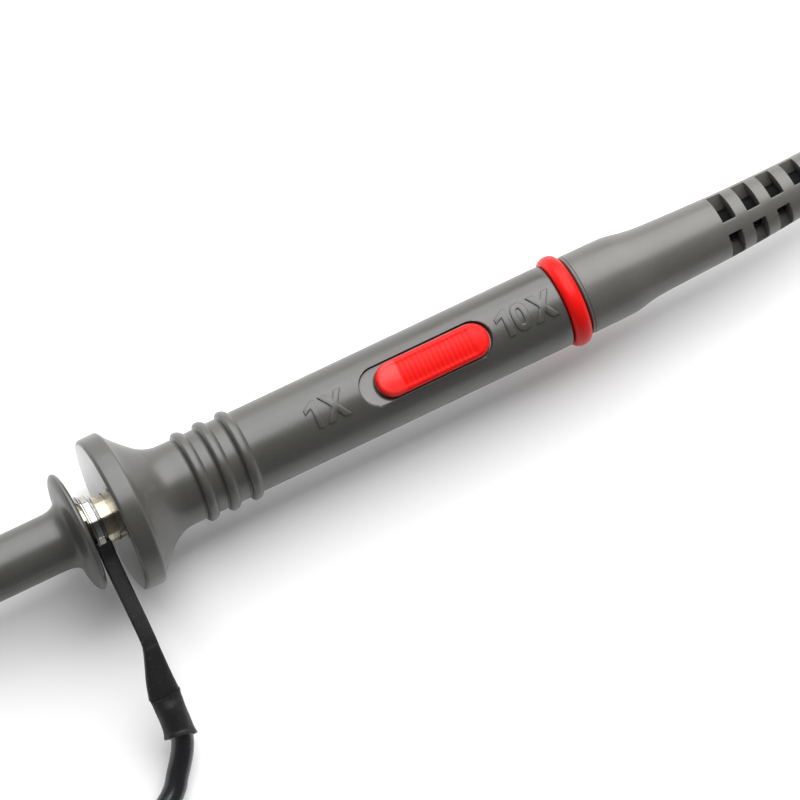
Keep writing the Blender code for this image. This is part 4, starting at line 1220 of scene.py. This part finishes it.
def nut_mesh():
    """Coupling nut with a ring groove and a straight knurl behind it."""
    n, knurls, knurl_depth = 240, 40, 0.26
    outline = [(47.0, 4.95), (47.0, 6.72), (47.1, 6.9), (47.3, NUT_R - 0.06), (47.5, NUT_R),
               (51.1, NUT_R), (51.3, NUT_R - 0.08), (51.5, 6.85), (51.65, 6.7), (52.35, 6.7),
               (52.5, 6.85), (52.7, NUT_R - 0.08), (52.9, NUT_R)]
    outline += [(53.1 + 8.3 * k / 12, NUT_R) for k in range(13)]
    outline += [(61.55, NUT_R - 0.05), (61.8, 6.95), (62.0, 6.75), (62.0, 4.5), (60.6, 4.5),
                (60.6, 5.65), (56.6, 5.65), (56.6, 4.95)]
    rings = []
    for i in range(n):
        a = 2 * pi * i / n
        ring = []
        for x, r in outline:
            k = smoothstep((x - 53.0) / 0.4) * smoothstep((61.5 - x) / 0.4) if r > 6.9 else 0.0
            r -= knurl_depth * k * (0.5 + 0.5 * cos(a * knurls)) ** 1.4
            ring.append(Vector((x, PLUG_Y + r * sin(a), PLUG_Z + r * cos(a))))
        rings.append(ring)
    return skin(rings, wrap=True)


nut = place(nut_mesh(), "coupling_nut_turned", NICKEL, "bnc_nut", "bnc_coupling_nut", sharp=50)
cut(nut, block(46.0, 53.5, PLUG_Y - 9.0, PLUG_Y + 9.0, PLUG_Z - 1.1, PLUG_Z + 1.1, bevel=0.5,
               segments=4))
round_edges(nut, width=0.08, segments=2, angle=60)

# ===========================================================================
# alligator clip: its jaws open towards -X
# ===========================================================================
jaw_low, jaw_high = mm_box("gator_lower_jaw")
TEETH, TOOTH_PITCH, TOOTH_DEPTH = 9, 1.02, 0.4
# (x, z) side outline of the upper jaw and its lever
UPPER_JAW = [
    (-105.25, -8.55), (-105.3, -8.2), (-105.2, -7.7), (-104.9, -7.45), (-100.0, -5.95),
    (-95.0, -4.62), (-92.5, -4.1), (-90.0, -3.62), (-86.0, -2.55), (-82.0, -1.45),
    (-79.4, -0.68), (-79.0, -0.62), (-78.65, -0.85), (-78.55, -1.3), (-78.7, -1.7),
    (-81.0, -2.95), (-85.0, -5.1), (-88.4, -6.88), (-90.0, -7.0), (-95.0, -7.3),
]


def gator_sleeve_outline():
    """Short grooved sleeve where the lead enters the clip."""
    out = [(-77.6, 1.6), (-77.6, 2.05), (-77.45, 2.25), (-77.2, 2.32)]
    x = -76.9
    while x < -71.0:
        out += [(x, 2.3), (x + 0.12, 2.12), (x + 0.5, 2.1), (x + 0.62, 2.28)]
        x += 1.2
    return out + [(-70.6, 2.0), (-69.8, 1.85), (-69.55, 1.72), (-69.5, 1.6)]


def hinge_bar(stations):
    """Round bar across the clip on its hinge; stations are (y from the hinge, radius)."""
    return skin([[Vector((HINGE.x + r * cos(2 * pi * i / 32), HINGE.y + y,
                          HINGE.z + r * sin(2 * pi * i / 32))) for i in range(32)]
                 for y, r in stations], caps=True)


def pin_hole():
    return hinge_bar([(-4, 0.62), (4, 0.62)])


def tooth(x, z, depth, up):
    """A pointed notch across a jaw's edge."""
    s = 1 if up else -1
    outline = [(x - 0.42, z - s * 0.3), (x + 0.42, z - s * 0.3), (x + 0.42, z),
               (x, z + s * depth), (x - 0.42, z)]
    return skin([[Vector((px, y, pz)) for px, pz in outline]
                 for y in (HINGE.y - 4, HINGE.y + 4)], caps=True)


def upper_jaw_mesh():
    half_w, bevel = 1.7, 0.18
    n = len(UPPER_JAW)
    centre_x = sum(p[0] for p in UPPER_JAW) / n
    centre_z = sum(p[1] for p in UPPER_JAW) / n

    def ring(y, inset_by):
        out = []
        for i, (x, z) in enumerate(UPPER_JAW):
            (ax, az), (bx, bz) = UPPER_JAW[i - 1], UPPER_JAW[(i + 1) % n]
            along = Vector((bx - ax, 0, bz - az)).normalized()
            outward = Vector((along.z, 0, -along.x))
            if (x - centre_x) * outward.x + (z - centre_z) * outward.z < 0:
                outward = -outward
            out.append(Vector((x, y, z)) - outward * inset_by)
        return out

    return skin([ring(HINGE.y - half_w, bevel), ring(HINGE.y - half_w + bevel, 0),
                 ring(HINGE.y + half_w - bevel, 0), ring(HINGE.y + half_w, bevel)], caps=True)


place(lathe(gator_sleeve_outline(), 56, HINGE.y, LEAD_Z), "gator_sleeve_moulding", CABLE,
      "ground_lead", "gator_boot", sharp=50)

lower_jaw = place(block(jaw_low.x, jaw_high.x, HINGE.y - 2.4, HINGE.y + 2.4, jaw_low.z,
                        jaw_high.z, bevel=0.55, segments=4),
                  "gator_lower_pressing", SHEET, "ground_lead", "gator_lower_jaw", sharp=45)
# the channel, lower walls at the jaw and at the lead, and the hinge's hole
cut(lower_jaw,
    block(jaw_low.x + 0.4, jaw_high.x + 1, HINGE.y - 1.95, HINGE.y + 1.95, -9.2, -3.0,
          bevel=0.3),
    block(-108.0, -95.5, HINGE.y - 4, HINGE.y + 4, -8.4, -3.0),
    block(-85.0, -76.0, HINGE.y - 4, HINGE.y + 4, -7.6, -3.0), pin_hole())
for k in range(TEETH):
    cut(lower_jaw, tooth(-104.6 + TOOTH_PITCH * k, -8.38, TOOTH_DEPTH, up=False))
round_edges(lower_jaw, width=0.07, segments=2, angle=50)

upper_jaw = place(upper_jaw_mesh(), "gator_upper_pressing", SHEET, "gator_jaw",
                  "gator_upper_jaw", sharp=45)
cut(upper_jaw, pin_hole(),
    block(-91.7, -88.3, HINGE.y - 0.9, HINGE.y + 0.9, -9.0, -2.0))
for k in range(TEETH):
    x = -104.1 + TOOTH_PITCH * k
    cut(upper_jaw, tooth(x, -8.55 + 0.127 * (x + 105.25), TOOTH_DEPTH, up=True))
for k in range(6):                               # finger grip on the lever
    x = -84.2 + 0.9 * k
    cut(upper_jaw, tooth(x, -2.06 + 0.275 * (x + 84.2), 0.22, up=False))

place(hinge_bar([(-2.6, 0.32), (-2.55, 0.42), (-2.45, 0.46), (2.45, 0.46), (2.55, 0.42),
                 (2.6, 0.32)]), "gator_pin_turned", STEEL, "ground_lead", "gator_pin")
place(wire(coil('Y', (HINGE.x, HINGE.y - 0.62, HINGE.z), length=1.24, radius=1.02, turns=2.5,
                per_turn=24), 0.18, 12),
      "gator_spring_coil", STEEL, "ground_lead", "gator_spring")

# ===========================================================================
# node materials for the frame's own pieces
# ===========================================================================
FRAME_MATERIALS = {
    BRASS: "shield_tube trimmer_screw",
    BOARD: "attenuator_board comp_board",
    RESISTOR: "input_resistor comp_resistor",
    CAPACITOR: "tip_capacitor comp_capacitor",
    BLACK: "switch_base nose_insulator",
    GOLD: "switch_wiper bnc_pin hook_socket probe_needle",
    COPPER: "core_wire",
    NICKEL: "crimp_ferrule bnc_crimp bnc_coupling_nut bnc_body",
    CREAM: "trimmer_base",
    WHITE: "bnc_insulator",
    GASKET: "bnc_gasket",
    STEEL: "bnc_spring_washer gator_pin gator_spring hook_wire hook_spring",
    CABLE: "coax_cable gator_boot",
    WIRE: "ground_wire",
    SHRINK: "ground_strap ground_shrink",
    CLIP_NICKEL_PAINTED_SHADE: "ground_clip",
    SHEET: "gator_lower_jaw gator_upper_jaw",
    GREY: "comp_box_base comp_box_cover hook_core hook_sleeve",
    BOOT_RUBBER: "bnc_boot",
    RED: "id_ring_bnc",
    WARM_NICKEL: "ground_barrel",
}
for material, node_names in FRAME_MATERIALS.items():
    for node_name in node_names.split():
        if node_name in frame["nodes"]:
            mesh = frame["nodes"][node_name].data
            mesh.materials.clear()
            mesh.materials.append(material)
            for face in mesh.polygons:
                face.material_index = 0


# ===========================================================================
# floor, light, camera (metres)
# ===========================================================================
def add_floor():
    bm = bmesh.new()
    bmesh.ops.create_grid(bm, x_segments=8, y_segments=8, size=3.0)
    mesh = bpy.data.meshes.new("floor")
    bm.to_mesh(mesh)
    bm.free()
    ob = bpy.data.objects.new("floor", mesh)
    ob.location = (0, 0, cad_box[0][2] - 0.0002)
    bpy.context.scene.collection.objects.link(ob)
    mesh.materials.append(surface("pale_floor", (0.93, 0.93, 0.93), rough=0.85, tint=0.004,
                                  tint_size=60.0, rough_var=0.02, spec=0.15))


def add_world():
    """A soft room: bright from the horizon down, dimmer overhead."""
    world = bpy.data.worlds.new("soft_room")
    scene.world = world
    world.use_nodes = True
    nodes, link = world.node_tree.nodes, world.node_tree.links.new
    background = nodes["Background"]
    coords = nodes.new("ShaderNodeTexCoord")
    split = nodes.new("ShaderNodeSeparateXYZ")
    ramp = nodes.new("ShaderNodeValToRGB")
    link(coords.outputs["Generated"], split.inputs[0])
    link(split.outputs["Z"], ramp.inputs[0])
    link(ramp.outputs[0], background.inputs["Color"])
    for element, grey in zip(ramp.color_ramp.elements, (0.7, 0.16)):
        element.color = (grey, grey, grey, 1)
    background.inputs["Strength"].default_value = 0.46


VIEW = Vector((-0.182, -0.063, 0.981)).normalized()      # from the probe to the camera
TARGET = ZERO + Vector((38.2, -2.35, 0.0)) * MM
CAMERA_DISTANCE = 0.65
CAMERA_ROLL = radians(25.42)
LIGHT_AIM = TARGET + Vector((0.57, 0, 0))


def add_camera():
    level = (Vector((1, 0, 0)) - VIEW * VIEW.x).normalized()
    right = Matrix.Rotation(-CAMERA_ROLL, 3, VIEW) @ level
    rotation = Matrix((right, VIEW.cross(right), VIEW)).transposed()
    data = bpy.data.cameras.new("camera")
    ob = bpy.data.objects.new("camera", data)
    scene.collection.objects.link(ob)
    ob.matrix_world = Matrix.Translation(TARGET + VIEW * CAMERA_DISTANCE) @ rotation.to_4x4()
    data.sensor_width = 36.0
    data.lens = 240.0
    data.clip_start, data.clip_end = 0.01, 20.0
    scene.camera = ob


def add_area_light(name, tilt, distance, size_x, size_y, power):
    """Rectangular light aimed at LIGHT_AIM, tilted from overhead towards +Y by degrees."""
    direction = Vector((0.0, sin(radians(tilt)), cos(radians(tilt)))).normalized()
    light = bpy.data.lights.new(name, 'AREA')
    light.shape = 'RECTANGLE'
    light.size, light.size_y, light.energy = size_x, size_y, power
    ob = bpy.data.objects.new(name, light)
    ob.location = LIGHT_AIM + direction * distance
    ob.rotation_euler = direction.to_track_quat('Z', 'Y').to_euler()
    scene.collection.objects.link(ob)


scene = bpy.context.scene
add_floor()
scene.view_settings.view_transform = 'Standard'
scene.view_settings.look = 'None'
scene.view_settings.exposure = 0.0
add_world()
add_camera()
# a long softbox above the +Y side, and a dimmer card that closes the gap down to the floor
add_area_light("softbox", tilt=35, distance=0.9, size_x=1.65, size_y=0.93, power=26.8)
add_area_light("card", tilt=75, distance=0.95, size_x=1.65, size_y=0.36, power=7.8)
